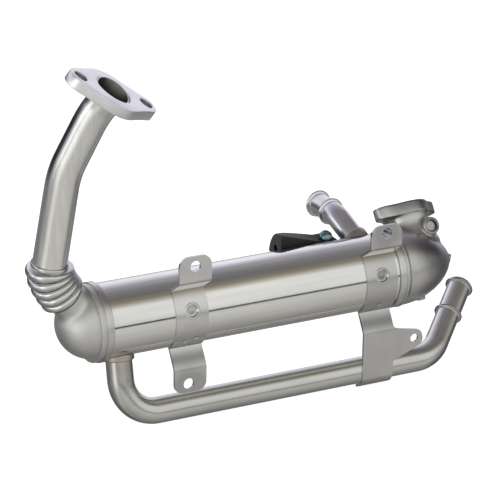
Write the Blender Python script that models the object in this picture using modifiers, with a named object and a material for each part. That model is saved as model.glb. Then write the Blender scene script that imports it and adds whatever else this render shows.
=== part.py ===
"""Exhaust gas recirculation cooler: a stainless shell-and-tube gas cooler with bent pipes.

Run with: blender --background --python part.py

Lengths below are millimetres and angles are degrees. The modelling frame has its X axis on the
axis of the cooler body, +X from gas inlet to gas outlet, -Y towards the engine face of the
brackets and +Z up. X = 0 is where the body comes out of the inlet collar. At the end everything
hangs from one empty, which moves the origin to the face of the left bracket's upper tab.
"""
import math

import bmesh
import bpy
from mathutils import Matrix, Vector

MM = 0.001
GAP = 0.3

# Cooler body
BODY_OD = 56.0
BODY_WALL = 1.5
BODY_LENGTH = 238.5
COLLAR_WALL = 1.6
INLET_COLLAR_LENGTH = 5.2
OUTLET_COLLAR_LENGTH = 5.0
BODY_R = BODY_OD / 2
COLLAR_R = BODY_R + GAP + COLLAR_WALL

# Gas inlet dome
DOME_WALL = 1.5
DOME_STEP = 1.4
DOME_LIP_LENGTH = 4.1
NECK_OD = 28.4
NECK_REACH = 30.5
NECK_FILLET = 7.0
NECK_ELEVATION = 49.6
DOME_R = BODY_R - DOME_STEP

# Bellows
BELLOWS_CREST_OD = 36.2
BELLOWS_ROOT_OD = 27.6
BELLOWS_WALL = 0.6
BELLOWS_FOLDS = 5
BELLOWS_CUFF = 2.0
BELLOWS_NECK_LEG = 21.9
BELLOWS_PIPE_LEG = 12.6

# Gas inlet pipe and its flange
GAS_PIPE_OD = 25.4
GAS_PIPE_TOP_OD = 24.4
GAS_PIPE_WALL = 1.2
GAS_PIPE_LOWER_BEND_R = 80.0
GAS_PIPE_UPPER_BEND_R = 90.0
GAS_PIPE_LOWER_RUN = 70.3
GAS_PIPE_MIDDLE_RUN = 50.7
GAS_PIPE_UPPER_RUN = 24.8
GAS_PIPE_RISE = Vector((0.113, -0.116, 0.987)).normalized()
GAS_PIPE_LEAN = Vector((0.324, -0.290, 0.900)).normalized()
GAS_PIPE_TOP = Vector((0.425, -0.444, 0.789)).normalized()
GAS_FLANGE_NORMAL = Vector((0.482, -0.294, 0.825)).normalized()
GAS_FLANGE_BOLT_LINE = Vector((0.874, 0.094, -0.477)).normalized()
GAS_FLANGE_THICKNESS = 8.0
GAS_FLANGE_HUB_R = 24.0
GAS_FLANGE_EAR_R = 11.0
GAS_FLANGE_HOLE_PITCH = 60.5
GAS_FLANGE_HOLE_D = 10.4
GAS_FLANGE_BORE_D = 28.4

# Cast outlet housing
HOUSING_WALL = 4.0
HOUSING_LIP_LENGTH = 2.8
HOUSING_LIP_STEP = 0.4
HOUSING_DOME_STEP = 0.5
HOUSING_DOME_LENGTH = 48.5
OUTLET_DIRECTION = Vector((-0.010, 0.572, 0.821)).normalized()
OUTLET_FLANGE_LINE = Vector((0.954, 0.250, -0.163)).normalized()
OUTLET_NECK_FROM_LIP = 27.0
OUTLET_NECK_OD = 33.0
OUTLET_BORE_D = 25.0
OUTLET_FLANGE_HEIGHT = 45.4
OUTLET_FLANGE_THICKNESS = 9.5
OUTLET_FLANGE_HUB_R = 18.5
OUTLET_FLANGE_EAR_R = 8.5
OUTLET_FLANGE_HOLE_PITCH = 42.0
OUTLET_FLANGE_HOLE_D = 6.8
PORT_DIRECTION = Vector((-0.030, -0.878, 0.478)).normalized()
PORT_HEIGHT = 24.7
PORT_SIDE_STEP = 8.2
PORT_REACH = 22.3
PORT_OD = 14.0
PORT_BORE_D = 9.8
PORT_DEPTH = 7.0
HOUSING_LIP_R = COLLAR_R + HOUSING_LIP_STEP
HOUSING_DOME_R = COLLAR_R - HOUSING_DOME_STEP
HOUSING_X = BODY_LENGTH + OUTLET_COLLAR_LENGTH + GAP
OUTLET_NECK_X = HOUSING_X + OUTLET_NECK_FROM_LIP

# Coolant pipes
LOWER_PIPE_OD = 19.8
LOWER_SPIGOT_OD = 18.4
UPPER_PIPE_OD = 17.4
COOLANT_WALL = 1.5
BEAD_SWELL = 1.9
BEAD_LENGTH = 3.4
HOSE_LIP = 3.2
RING_WALL = 1.5
LOWER_RING_HEIGHT = 2.8
UPPER_RING_HEIGHT = 1.6
LOWER_STUB_X = 14.0
LOWER_PIPE_CLEARANCE = 35.8
LOWER_PIPE_TILT = 11.3
LOWER_BEND_R = 27.5
LOWER_RUN_PAST_BODY = 37.3
LOWER_OUTLET_BEND_R = 32.0
LOWER_OUTLET_DIRECTION = Vector((0.676, 0.573, 0.464)).normalized()
LOWER_OUTLET_LENGTH = 75.4
LOWER_BEAD_SPACING = 28.5
UPPER_STUB_FROM_END = 16.0
UPPER_STUB_ANGLE = 36.0
UPPER_STUB_DIRECTION = Vector((-0.18, 0.831, 0.527)).normalized()
UPPER_STUB_LENGTH = 24.0
UPPER_OUTLET_DIRECTION = Vector((0.0, 1.0, 0.0))
UPPER_OUTLET_LENGTH = 31.0
UPPER_BEND_R = 17.0
UPPER_BEAD_SPACING = 19.5
LOWER_PIPE_DROP = BODY_R + LOWER_PIPE_CLEARANCE + LOWER_PIPE_OD / 2
LOWER_RUN_END_X = BODY_LENGTH + LOWER_RUN_PAST_BODY
UPPER_STUB_X = BODY_LENGTH - UPPER_STUB_FROM_END

# Brackets
SHEET = 2.0
BRACKET_WIDTH = 26.2
LEFT_BRACKET_X = 49.2
RIGHT_BRACKET_FROM_END = 29.9
TAB_STAND_OFF = 6.0
LEFT_TAB_RISE = 23.8
RIGHT_TAB_RISE = 21.6
TAB_HOLE_RISE = 15.8
LEG_HOLE_FALL = 22.3
TAB_FOOT_RISE = 5.0
WRAP_TOP = 49.0
WRAP_BOTTOM = 54.0
LEG_SET_BACK = 1.0
LEG_TOP_FALL = 10.5
LEG_BOTTOM_FALL = 29.0
CRADLE_WRAP = 82.0
EAR_X = 18.0
EAR_HOLE_D = 6.6
BRACKET_HOLE_D = 8.4
TAB_CORNER_R = 8.0
LEG_CORNER_R = 7.0
DIMPLE_ANGLE = 14.5
DIMPLE_D = 10.5
FOLD_R = 3.0
RIGHT_BRACKET_X = BODY_LENGTH - RIGHT_BRACKET_FROM_END
TAB_FACE_Y = -BODY_R - TAB_STAND_OFF
LEFT_TAB_TOP_Z = BODY_R + LEFT_TAB_RISE
RIGHT_TAB_TOP_Z = BODY_R + RIGHT_TAB_RISE
TAB_HOLE_Z = BODY_R + TAB_HOLE_RISE
LEG_HOLE_Z = -BODY_R - LEG_HOLE_FALL
TAB_FOOT_Z = BODY_R + TAB_FOOT_RISE
LEG_FACE_Y = -BODY_R + LEG_SET_BACK
LEG_TOP_Z = -BODY_R - LEG_TOP_FALL
LEFT_LEG_BOTTOM_Z = -BODY_R - LEG_BOTTOM_FALL

# Gas tubes and plates inside the body
TUBE_OD = 9.5
TUBE_WALL = 0.8
TUBE_SPACING = 12.4
TUBE_PITCH = 11.7
TUBE_EDGE_LAND = 3.15
TUBE_SHEET_THICKNESS = 2.5
BAFFLE_THICKNESS = 1.5
BAFFLE_WINDOW = 2.6
SHEET_R = BODY_R - BODY_WALL - GAP
OUTER_TUBE_CIRCLE_R = SHEET_R - TUBE_EDGE_LAND - TUBE_OD / 2
INNER_TUBE_CIRCLE_R = OUTER_TUBE_CIRCLE_R - TUBE_PITCH
BAFFLE_CUT = SHEET_R - BAFFLE_WINDOW

# Clip bracket and screw
CLIP_FROM_END = 79.5
CLIP_LENGTH = 48.0
CLIP_SEAT_ANGLE = 30.71
CLIP_DEPTH = 19.4
CLIP_RIDGE = 5.5
CLIP_BASE_DROP = 11.0
CLIP_FOOT_DROP = 3.4
CLIP_RIDGE_RISE = 6.9
CLIP_FOOT_LENGTH = 12.0
SCREW_FROM_CLIP_END = 7.0
SCREW_SET_BACK = 5.7
SCREW_HEAD_D = 11.0
SCREW_HEAD_HEIGHT = 5.0
SCREW_SHANK_D = 5.0
SCREW_GRIP = 2.2
CLIP_X = BODY_LENGTH - CLIP_FROM_END
CLIP_FRONT_Y = BODY_R * math.sin(math.radians(CLIP_SEAT_ANGLE))
CLIP_BASE_Z = BODY_R - CLIP_BASE_DROP
CLIP_FOOT_TOP_Z = BODY_R - CLIP_FOOT_DROP
CLIP_RIDGE_Z = BODY_R + CLIP_RIDGE_RISE
CLIP_RIDGE_END_X = CLIP_X + CLIP_LENGTH - CLIP_FOOT_LENGTH
SCREW_X = CLIP_X + CLIP_LENGTH - SCREW_FROM_CLIP_END
SCREW_Y = CLIP_FRONT_Y + SCREW_SET_BACK
SCREW_TIP_Z = CLIP_FOOT_TOP_Z - SCREW_GRIP

# Facets
ROUND_STEPS = 32
TUBE_SIDES = 10
BEND_STEP = 12.0

STEEL = (0.60, 0.59, 0.57, 1.0)
CAST = (0.33, 0.33, 0.32, 1.0)
ZINC = (0.42, 0.50, 0.56, 1.0)
BLACK = (0.02, 0.02, 0.02, 1.0)


def new_collection(name):
    collection = bpy.data.collections.new(name)
    bpy.context.scene.collection.children.link(collection)
    return collection


def clear_scene():
    for obj in list(bpy.data.objects):
        bpy.data.objects.remove(obj, do_unlink=True)


def new_material(name, color, roughness, metallic):
    material = bpy.data.materials.new(name)
    material.use_nodes = True
    shader = material.node_tree.nodes["Principled BSDF"]
    shader.inputs["Base Color"].default_value = color
    shader.inputs["Roughness"].default_value = roughness
    shader.inputs["Metallic"].default_value = metallic
    return material


clear_scene()
PARTS = new_collection("egr_cooler")
CUTTERS = new_collection("cutters")
SATIN_STEEL = new_material("satin_steel", STEEL, 0.3, 1.0)
CAST_STEEL = new_material("cast_steel", CAST, 0.5, 1.0)
ZINC_PLATE = new_material("zinc_plate", ZINC, 0.35, 1.0)
BLACK_PLASTIC = new_material("black_plastic", BLACK, 0.5, 0.0)


def add_part(name, mesh, material):
    part = bpy.data.objects.new(name, mesh)
    part.data.materials.append(material)
    PARTS.objects.link(part)
    return part


def add_cutter(name, mesh):
    cutter = bpy.data.objects.new(name, mesh)
    cutter.display_type = "WIRE"
    cutter.hide_render = True
    CUTTERS.objects.link(cutter)
    return cutter


def combine(part, cutter, operation):
    modifier = part.modifiers.new(operation.lower(), "BOOLEAN")
    modifier.operation = operation
    modifier.object = cutter
    modifier.solver = "EXACT"


def shade_round(mesh, limit=35.0):
    mesh.shade_smooth()
    mesh.set_sharp_from_angle(angle=math.radians(limit))


def frame_on(origin, normal, across=None):
    """World matrix with its Z along normal and its X along across, at an origin in millimetres."""
    z_axis = Vector(normal).normalized()
    guess = Vector(across) if across else Vector((0, 0, 1)).cross(z_axis)
    if guess.length < 0.001:
        guess = Vector((1, 0, 0))
    x_axis = (guess - guess.dot(z_axis) * z_axis).normalized()
    y_axis = z_axis.cross(x_axis)
    matrix = Matrix((x_axis, y_axis, z_axis)).transposed().to_4x4()
    matrix.translation = Vector(origin) * MM
    return matrix


def evaluated_mesh(obj):
    """Mesh of an object with its modifiers applied, welded, in the object's own space."""
    bpy.context.view_layer.update()
    depsgraph = bpy.context.evaluated_depsgraph_get()
    mesh = bpy.data.meshes.new_from_object(obj.evaluated_get(depsgraph))
    work = bmesh.new()
    work.from_mesh(mesh)
    bmesh.ops.remove_doubles(work, verts=work.verts, dist=0.000001)
    work.to_mesh(mesh)
    work.free()
    bpy.data.objects.remove(obj, do_unlink=True)
    return mesh


def rounded_route(corners, radii, step=BEND_STEP):
    """Points along a polyline whose inner corners are arcs; radii has one value per inner corner."""
    points = [Vector(corners[0])]
    for index in range(1, len(corners) - 1):
        corner = Vector(corners[index])
        before = (corner - Vector(corners[index - 1])).normalized()
        after = (Vector(corners[index + 1]) - corner).normalized()
        turn = before.angle(after)
        radius = radii[index - 1]
        if turn < math.radians(1.0) or radius <= 0:
            points.append(corner)
            continue
        axis = before.cross(after).normalized()
        start = corner - before * radius * math.tan(turn / 2)
        centre = start + axis.cross(before) * radius
        count = max(2, math.ceil(turn / math.radians(step)))
        for k in range(count + 1):
            spin = Matrix.Rotation(turn * k / count, 3, axis)
            points.append(centre + spin @ (start - centre))
    points.append(Vector(corners[-1]))
    return points


def tube_skin(name, points, radii, sides):
    """Open tube surface along points, in millimetres, with one radius for each point."""
    curve = bpy.data.curves.new(name, "CURVE")
    curve.dimensions = "3D"
    curve.bevel_depth = MM
    curve.bevel_resolution = (sides - 4) // 2
    spline = curve.splines.new("POLY")
    spline.points.add(len(points) - 1)
    for knot, point, radius in zip(spline.points, points, radii):
        knot.co = (*(Vector(point) * MM), 1.0)
        knot.radius = radius
    obj = bpy.data.objects.new(name, curve)
    bpy.context.scene.collection.objects.link(obj)
    return evaluated_mesh(obj)


def hollow_tube(name, points, radii, wall, material, sides):
    """Pipe with an open bore: an outer skin given its wall inwards."""
    mesh = tube_skin(name, points, radii, sides)
    shade_round(mesh)
    pipe = add_part(name, mesh, material)
    shell = pipe.modifiers.new("wall", "SOLIDIFY")
    shell.thickness = wall * MM
    shell.offset = -1.0
    shell.use_even_offset = True
    return pipe


def turned_mesh(name, profile, steps=ROUND_STEPS, closed=True):
    """Solid of revolution about Z from (radius, height) pairs that run down the outer side."""
    mesh = bpy.data.meshes.new(name)
    work = bmesh.new()
    verts = [work.verts.new((radius * MM, 0.0, height * MM)) for radius, height in profile]
    for first, second in zip(verts, verts[1:]):
        work.edges.new((first, second))
    if closed:
        work.edges.new((verts[-1], verts[0]))
    work.to_mesh(mesh)
    work.free()
    obj = bpy.data.objects.new(name, mesh)
    bpy.context.scene.collection.objects.link(obj)
    screw = obj.modifiers.new("turn", "SCREW")
    screw.axis = "Z"
    screw.angle = math.tau
    screw.steps = steps
    screw.render_steps = steps
    screw.use_merge_vertices = True
    screw.merge_threshold = 0.000005
    turned = evaluated_mesh(obj)
    shade_round(turned)
    return turned


def turned_part(name, profile, origin, normal, material, steps=ROUND_STEPS, closed=True):
    part = add_part(name, turned_mesh(name, profile, steps, closed), material)
    part.matrix_world = frame_on(origin, normal)
    return part


def turned_cutter(name, profile, origin, normal, steps=ROUND_STEPS, closed=False):
    cutter = add_cutter(name, turned_mesh(name, profile, steps, closed))
    cutter.matrix_world = frame_on(origin, normal)
    return cutter


def rod_profile(radius, low, high):
    """Profile of a solid rod between two heights, for a turned solid that reaches its axis."""
    return [(0.0, high), (radius, high), (radius, low), (0.0, low)]


def ring_profile(inner, outer, low, high, chamfer=0.0):
    """Closed profile of a ring, with its two outer edges chamfered."""
    if chamfer <= 0:
        return [(outer, high), (outer, low), (inner, low), (inner, high)]
    return [
        (outer - chamfer, high), (outer, high - chamfer), (outer, low + chamfer),
        (outer - chamfer, low), (inner, low), (inner, high),
    ]


def rod_cutter(name, radius, origin, normal, low, high, steps=ROUND_STEPS):
    return turned_cutter(name, rod_profile(radius, low, high), origin, normal, steps)


def body_axis_cutter(name, radius):
    """Long cylinder on the body's axis, which gives neighbours their saddle."""
    return rod_cutter(name, radius, (0, 0, 0), (1, 0, 0), -80.0, BODY_LENGTH + 80.0, 48)


def plate_mesh(name, outlines, thickness):
    """Flat plate centred on Z = 0: the first outline is its edge and the others are holes."""
    curve = bpy.data.curves.new(name, "CURVE")
    curve.dimensions = "2D"
    curve.fill_mode = "BOTH"
    curve.extrude = thickness * MM / 2
    for outline in outlines:
        spline = curve.splines.new("POLY")
        spline.points.add(len(outline) - 1)
        spline.use_cyclic_u = True
        for knot, (x, y) in zip(spline.points, outline):
            knot.co = (x * MM, y * MM, 0.0, 1.0)
    obj = bpy.data.objects.new(name, curve)
    bpy.context.scene.collection.objects.link(obj)
    mesh = evaluated_mesh(obj)
    shade_round(mesh)
    return mesh


def arc_2d(centre, radius, start, end, count):
    """Points of an arc about a centre, from a start angle to an end angle."""
    points = []
    for k in range(count + 1):
        angle = math.radians(start + (end - start) * k / count)
        points.append((centre[0] + radius * math.cos(angle), centre[1] + radius * math.sin(angle)))
    return points


def circle_2d(centre, radius, count):
    return arc_2d(centre, radius, 0.0, 360.0 * (count - 1) / count, count - 1)


def eared_outline(hub_r, ear_r, ear_x, waist_r, count=6):
    """Edge of a two-bolt flange: a round hub, two round ears and hollow waists between them."""
    hub_reach = hub_r + waist_r
    ear_reach = ear_r + waist_r
    waist_x = (hub_reach ** 2 - ear_reach ** 2 + ear_x ** 2) / (2 * ear_x)
    waist_y = math.sqrt(hub_reach ** 2 - waist_x ** 2)
    hub_angle = math.degrees(math.atan2(waist_y, waist_x))
    ear_angle = math.degrees(math.atan2(waist_y, waist_x - ear_x))
    quarter = arc_2d((ear_x, 0.0), ear_r, 0.0, ear_angle, count)
    quarter += arc_2d((waist_x, waist_y), waist_r, ear_angle + 180.0, hub_angle + 180.0, 3)[1:-1]
    quarter += arc_2d((0.0, 0.0), hub_r, hub_angle, 90.0, 3)
    upper = quarter + [(-x, y) for x, y in reversed(quarter[:-1])]
    lower = [(x, -y) for x, y in reversed(upper[1:-1])]
    return upper + lower


def bead_radii(route_radius, lips):
    """Rings that form a rolled bead: (distance along the bead, radius) pairs."""
    swell = route_radius + BEAD_SWELL
    middle = route_radius + BEAD_SWELL * 0.6
    return [(0.0, route_radius), (lips * 0.2, middle), (lips * 0.5, swell), (lips * 0.8, middle),
            (lips, route_radius)]


def add_hose_end(points, radii, radius, direction, spacing):
    """Put two rolled beads on the last run of a coolant pipe, the second one at its mouth."""
    end = points.pop()
    radii.pop()
    for back in (spacing + HOSE_LIP, HOSE_LIP):
        for along, ring in bead_radii(radius, BEAD_LENGTH):
            points.append(end - direction * (back + BEAD_LENGTH / 2 - along))
            radii.append(ring)
    points.append(end)
    radii.append(radius)


def coolant_pipe(name, corners, bend_radii, pipe_od, spigot_od, spacing):
    """Bent coolant pipe; from the middle of its last bend on it has the hose spigot's size."""
    points = rounded_route(corners, bend_radii)
    direction = (Vector(corners[-1]) - Vector(corners[-2])).normalized()
    radii = [pipe_od / 2] * len(points)
    radii[-2] = spigot_od / 2
    radii[-3] = (pipe_od + spigot_od) / 4
    add_hose_end(points, radii, spigot_od / 2, direction, spacing)
    return hollow_tube(name, points, radii, COOLANT_WALL, SATIN_STEEL, 16)


def body_radial(angle_from_top):
    """Unit vector out of the body's axis, turned back from straight up by this angle."""
    angle = math.radians(angle_from_top)
    return Vector((0.0, math.sin(angle), math.cos(angle)))


def lower_stub_direction():
    return body_radial(180.0 + LOWER_PIPE_TILT)


def upper_stub_seat():
    return Vector((UPPER_STUB_X, 0, 0)) + body_radial(UPPER_STUB_ANGLE) * BODY_R


def upper_stub_start():
    """Inner end of the upper pipe, far enough in that its whole mouth is inside the shell."""
    return upper_stub_seat() - UPPER_STUB_DIRECTION * 9.0


def make_body_shell():
    inner = BODY_R - BODY_WALL
    low = GAP - INLET_COLLAR_LENGTH
    high = BODY_LENGTH + OUTLET_COLLAR_LENGTH - GAP
    profile = ring_profile(inner, BODY_R, low, high)
    shell = turned_part("body_shell", profile, (0, 0, 0), (1, 0, 0), SATIN_STEEL, 48)
    lower = rod_cutter("lower_pipe_hole", LOWER_PIPE_OD / 2 + GAP, (LOWER_STUB_X, 0, 0),
                       lower_stub_direction(), BODY_R - 12.0, BODY_R + 12.0, 24)
    upper = rod_cutter("upper_pipe_hole", UPPER_PIPE_OD / 2 + GAP, upper_stub_seat(),
                       UPPER_STUB_DIRECTION, -12.0, 14.0, 24)
    combine(shell, lower, "DIFFERENCE")
    combine(shell, upper, "DIFFERENCE")
    return shell


def make_collars():
    inner = BODY_R + GAP
    inlet = ring_profile(inner, COLLAR_R, -INLET_COLLAR_LENGTH, 0.0, 0.5)
    turned_part("inlet_collar", inlet, (0, 0, 0), (1, 0, 0), SATIN_STEEL, 40)
    outlet = ring_profile(inner, COLLAR_R, BODY_LENGTH, BODY_LENGTH + OUTLET_COLLAR_LENGTH, 0.5)
    turned_part("outlet_collar", outlet, (0, 0, 0), (1, 0, 0), SATIN_STEEL, 40)


def neck_direction():
    angle = math.radians(NECK_ELEVATION)
    return Vector((-math.cos(angle), 0.0, math.sin(angle)))


def dome_centre():
    return Vector((-INLET_COLLAR_LENGTH - GAP, 0.0, 0.0))


def dome_profile(offset):
    """Neck, fillet and bowl, moved inwards by offset, from the neck's mouth to past the rim."""
    bowl = DOME_R - offset
    neck = NECK_OD / 2 - offset
    fillet = NECK_FILLET + offset
    reach = bowl + fillet
    fillet_height = math.sqrt(reach ** 2 - (neck + fillet) ** 2)
    touch = math.degrees(math.atan2(fillet_height, neck + fillet))
    points = [(neck, NECK_REACH)]
    points += arc_2d((neck + fillet, fillet_height), fillet, 180.0, 180.0 + touch, 4)
    points += arc_2d((0.0, 0.0), bowl, touch, -55.0, 10)[1:]
    return points


def make_inlet_dome():
    outer = dome_profile(0.0)
    inner = dome_profile(DOME_WALL)
    dome = turned_part("inlet_dome", outer + inner[::-1], dome_centre(), neck_direction(),
                       SATIN_STEEL, 28)
    rim_x = -INLET_COLLAR_LENGTH - GAP
    keep = rod_cutter("dome_keep", 70.0, (rim_x - 2.0, 0, 0), (-1, 0, 0), 0.0, 90.0, 16)
    lip = ring_profile(DOME_R - DOME_WALL * 0.6, COLLAR_R - 0.8, rim_x - DOME_LIP_LENGTH, rim_x, 0.6)
    rim = turned_cutter("dome_rim", lip, (0, 0, 0), (1, 0, 0), 40, True)
    combine(dome, keep, "INTERSECT")
    combine(dome, rim, "UNION")
    return dome


def neck_end():
    return dome_centre() + neck_direction() * NECK_REACH


def bellows_route():
    """Centre line of the bellows: a smooth bend from the neck's direction to the pipe's."""
    start = neck_end() + neck_direction() * GAP
    corner = start + neck_direction() * BELLOWS_NECK_LEG
    end = corner + GAS_PIPE_RISE * BELLOWS_PIPE_LEG

    def at(t):
        return start * (1 - t) ** 2 + corner * 2 * t * (1 - t) + end * t ** 2

    fine = [at(k / 200) for k in range(201)]
    length = [0.0]
    for first, second in zip(fine, fine[1:]):
        length.append(length[-1] + (second - first).length)

    def along(distance):
        for k in range(200):
            if length[k + 1] >= distance:
                share = (distance - length[k]) / (length[k + 1] - length[k])
                return fine[k].lerp(fine[k + 1], min(1.0, share))
        return fine[-1]

    return along, length[-1]


def make_bellows():
    along, length = bellows_route()
    root = BELLOWS_ROOT_OD / 2
    crest = BELLOWS_CREST_OD / 2
    rings = 5
    count = BELLOWS_FOLDS * rings
    folded = length - 2 * BELLOWS_CUFF
    points = [along(0.0)]
    radii = [root]
    for k in range(count + 1):
        fold = 0.5 - 0.5 * math.cos(math.tau * k / rings)
        points.append(along(BELLOWS_CUFF + folded * k / count))
        radii.append(root + (crest - root) * fold)
    points.append(along(length))
    radii.append(root)
    bellows = hollow_tube("bellows", points, radii, BELLOWS_WALL, SATIN_STEEL, 20)
    bellows.modifiers["wall"].use_even_offset = False
    return points[-1]


def gas_pipe_corners(bellows_end):
    start = bellows_end - GAS_PIPE_RISE * (BELLOWS_CUFF - GAP)
    first = bellows_end + GAS_PIPE_RISE * GAS_PIPE_LOWER_RUN
    second = first + GAS_PIPE_LEAN * GAS_PIPE_MIDDLE_RUN
    end = second + GAS_PIPE_TOP * GAS_PIPE_UPPER_RUN
    return [start, first, second, end]


def make_gas_pipe(corners):
    points = rounded_route(corners, [GAS_PIPE_LOWER_BEND_R, GAS_PIPE_UPPER_BEND_R], 7.0)
    points[-1] -= GAS_PIPE_TOP * 2.0
    low = points[0].z
    high = points[-1].z
    taper = (GAS_PIPE_TOP_OD - GAS_PIPE_OD) / 2
    radii = [GAS_PIPE_OD / 2 + taper * (point.z - low) / (high - low) for point in points]
    hollow_tube("gas_inlet_pipe", points, radii, GAS_PIPE_WALL, SATIN_STEEL, 24)


def make_gas_flange(pipe_end):
    outline = eared_outline(GAS_FLANGE_HUB_R, GAS_FLANGE_EAR_R, GAS_FLANGE_HOLE_PITCH / 2 - 2.5,
                            60.0)
    bore = circle_2d((0, 0), GAS_FLANGE_BORE_D / 2, 28)
    holes = [circle_2d((side * GAS_FLANGE_HOLE_PITCH / 2, 0), GAS_FLANGE_HOLE_D / 2, 16)
             for side in (-1, 1)]
    mesh = plate_mesh("gas_inlet_flange", [outline, bore] + holes, GAS_FLANGE_THICKNESS)
    flange = add_part("gas_inlet_flange", mesh, SATIN_STEEL)
    centre = pipe_end - GAS_FLANGE_NORMAL * GAS_FLANGE_THICKNESS / 2
    flange.matrix_world = frame_on(centre, GAS_FLANGE_NORMAL, GAS_FLANGE_BOLT_LINE)


def housing_dome_points(radius, length, start_x, count):
    """Blunt round end, from its tip back to its rim, as (radius, X) pairs."""
    points = []
    for k in range(count + 1):
        angle = math.radians(90.0 * k / count)
        ring = radius * math.sin(angle) ** 1.24
        points.append((ring, start_x + length * math.cos(angle)))
    return points


def make_outlet_housing():
    lip_x = HOUSING_X
    dome_x = lip_x + HOUSING_LIP_LENGTH + 1.5
    groove_r = HOUSING_DOME_R - 0.6
    outer = housing_dome_points(HOUSING_DOME_R, HOUSING_DOME_LENGTH, dome_x, 11)
    outer += [(groove_r, dome_x - 0.6), (HOUSING_LIP_R, lip_x + HOUSING_LIP_LENGTH - 0.4),
              (HOUSING_LIP_R, lip_x + 0.5), (HOUSING_LIP_R - 0.5, lip_x), (0.0, lip_x)]
    housing = turned_part("outlet_housing", outer, (0, 0, 0), (1, 0, 0), CAST_STEEL, 36, False)
    base = Vector((OUTLET_NECK_X, 0, 0))
    neck_r = OUTLET_NECK_OD / 2
    plate_low = OUTLET_FLANGE_HEIGHT - OUTLET_FLANGE_THICKNESS
    root = HOUSING_DOME_R / 2
    neck = [(0.0, plate_low + 2.0), (neck_r + 1.5, plate_low + 2.0), (neck_r, plate_low - 4.0),
            (neck_r + 0.8, root + 10.0), (neck_r + 2.4, root + 5.0), (neck_r + 5.0, root), (0.0, root)]
    neck_solid = turned_cutter("housing_neck", neck, base, OUTLET_DIRECTION, 28)
    outline = eared_outline(OUTLET_FLANGE_HUB_R, OUTLET_FLANGE_EAR_R,
                            OUTLET_FLANGE_HOLE_PITCH / 2, 40.0, 7)
    holes = [circle_2d((side * OUTLET_FLANGE_HOLE_PITCH / 2, 0), OUTLET_FLANGE_HOLE_D / 2, 14)
             for side in (-1, 1)]
    plate = add_cutter("housing_plate", plate_mesh("housing_plate", [outline] + holes,
                                                   OUTLET_FLANGE_THICKNESS))
    plate_centre = base + OUTLET_DIRECTION * (OUTLET_FLANGE_HEIGHT - OUTLET_FLANGE_THICKNESS / 2)
    plate.matrix_world = frame_on(plate_centre, OUTLET_DIRECTION, OUTLET_FLANGE_LINE)
    port_base = base + OUTLET_DIRECTION * PORT_HEIGHT + Vector((PORT_SIDE_STEP, 0, 0))
    port = turned_cutter("housing_port", [(0.0, PORT_REACH), (PORT_OD / 2 - 0.6, PORT_REACH),
                                          (PORT_OD / 2, PORT_REACH - 0.6), (PORT_OD / 2, 4.0),
                                          (0.0, 4.0)], port_base, PORT_DIRECTION, 20)
    for joined in (neck_solid, plate, port):
        combine(housing, joined, "UNION")
    cavity_profile = housing_dome_points(HOUSING_DOME_R - HOUSING_WALL,
                                         HOUSING_DOME_LENGTH - HOUSING_WALL, dome_x, 8)
    cavity_profile += [(HOUSING_DOME_R - HOUSING_WALL, lip_x - 5.0), (0.0, lip_x - 5.0)]
    cavity = turned_cutter("housing_cavity", cavity_profile, (0, 0, 0), (1, 0, 0), 28)
    bore = rod_cutter("outlet_bore", OUTLET_BORE_D / 2, base, OUTLET_DIRECTION, 5.0,
                      OUTLET_FLANGE_HEIGHT + 5.0, 24)
    tapped = rod_cutter("port_bore", PORT_BORE_D / 2, port_base, PORT_DIRECTION,
                        PORT_REACH - PORT_DEPTH, PORT_REACH + 5.0, 20)
    for cut in (cavity, bore, tapped):
        combine(housing, cut, "DIFFERENCE")
    return housing


def make_lower_pipe():
    down = lower_stub_direction()
    start = Vector((LOWER_STUB_X, 0, 0)) + down * (BODY_R - 4.0)
    first = Vector((LOWER_STUB_X, 0, 0)) + down * LOWER_PIPE_DROP
    second = Vector((LOWER_RUN_END_X, 0, 0)) + down * LOWER_PIPE_DROP
    end = second + LOWER_OUTLET_DIRECTION * LOWER_OUTLET_LENGTH
    coolant_pipe("lower_coolant_pipe", [start, first, second, end],
                 [LOWER_BEND_R, LOWER_OUTLET_BEND_R], LOWER_PIPE_OD, LOWER_SPIGOT_OD,
                 LOWER_BEAD_SPACING)


def make_upper_pipe():
    start = upper_stub_start()
    corner = upper_stub_seat() + UPPER_STUB_DIRECTION * UPPER_STUB_LENGTH
    end = corner + UPPER_OUTLET_DIRECTION * UPPER_OUTLET_LENGTH
    pipe = coolant_pipe("upper_coolant_pipe", [start, corner, end], [UPPER_BEND_R], UPPER_PIPE_OD,
                        UPPER_PIPE_OD, UPPER_BEAD_SPACING)
    combine(pipe, body_axis_cutter("upper_pipe_trim", BODY_R - 3.8), "DIFFERENCE")


def make_pipe_ring(name, pipe_od, seat, direction, low, height):
    """Weld ring round a coolant pipe, cut to the round of the body under it."""
    inner = pipe_od / 2 + GAP
    outer = inner + RING_WALL
    profile = [(inner + 0.4, height), (outer - 0.6, height), (outer, height - 0.9),
               (outer, low), (inner, low), (inner, height - 0.4)]
    ring = turned_part(name, profile, seat, direction, SATIN_STEEL, 24)
    combine(ring, body_axis_cutter(name + "_saddle", BODY_R + GAP), "DIFFERENCE")


def make_pipe_rings():
    down = lower_stub_direction()
    lower_seat = Vector((LOWER_STUB_X, 0, 0)) + down * BODY_R
    make_pipe_ring("lower_pipe_ring", LOWER_PIPE_OD, lower_seat, down, -6.0, LOWER_RING_HEIGHT)
    make_pipe_ring("upper_pipe_ring", UPPER_PIPE_OD, upper_stub_seat(), UPPER_STUB_DIRECTION, -11.0,
                   UPPER_RING_HEIGHT)


def wrap_points(radius, count=12):
    """Part of the bracket's section that hugs the body, from its upper to its lower end."""
    points = []
    for k in range(count + 1):
        angle = math.radians(WRAP_TOP - (WRAP_TOP + WRAP_BOTTOM) * k / count)
        points.append(Vector((0.0, -radius * math.cos(angle), radius * math.sin(angle))))
    return points


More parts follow.
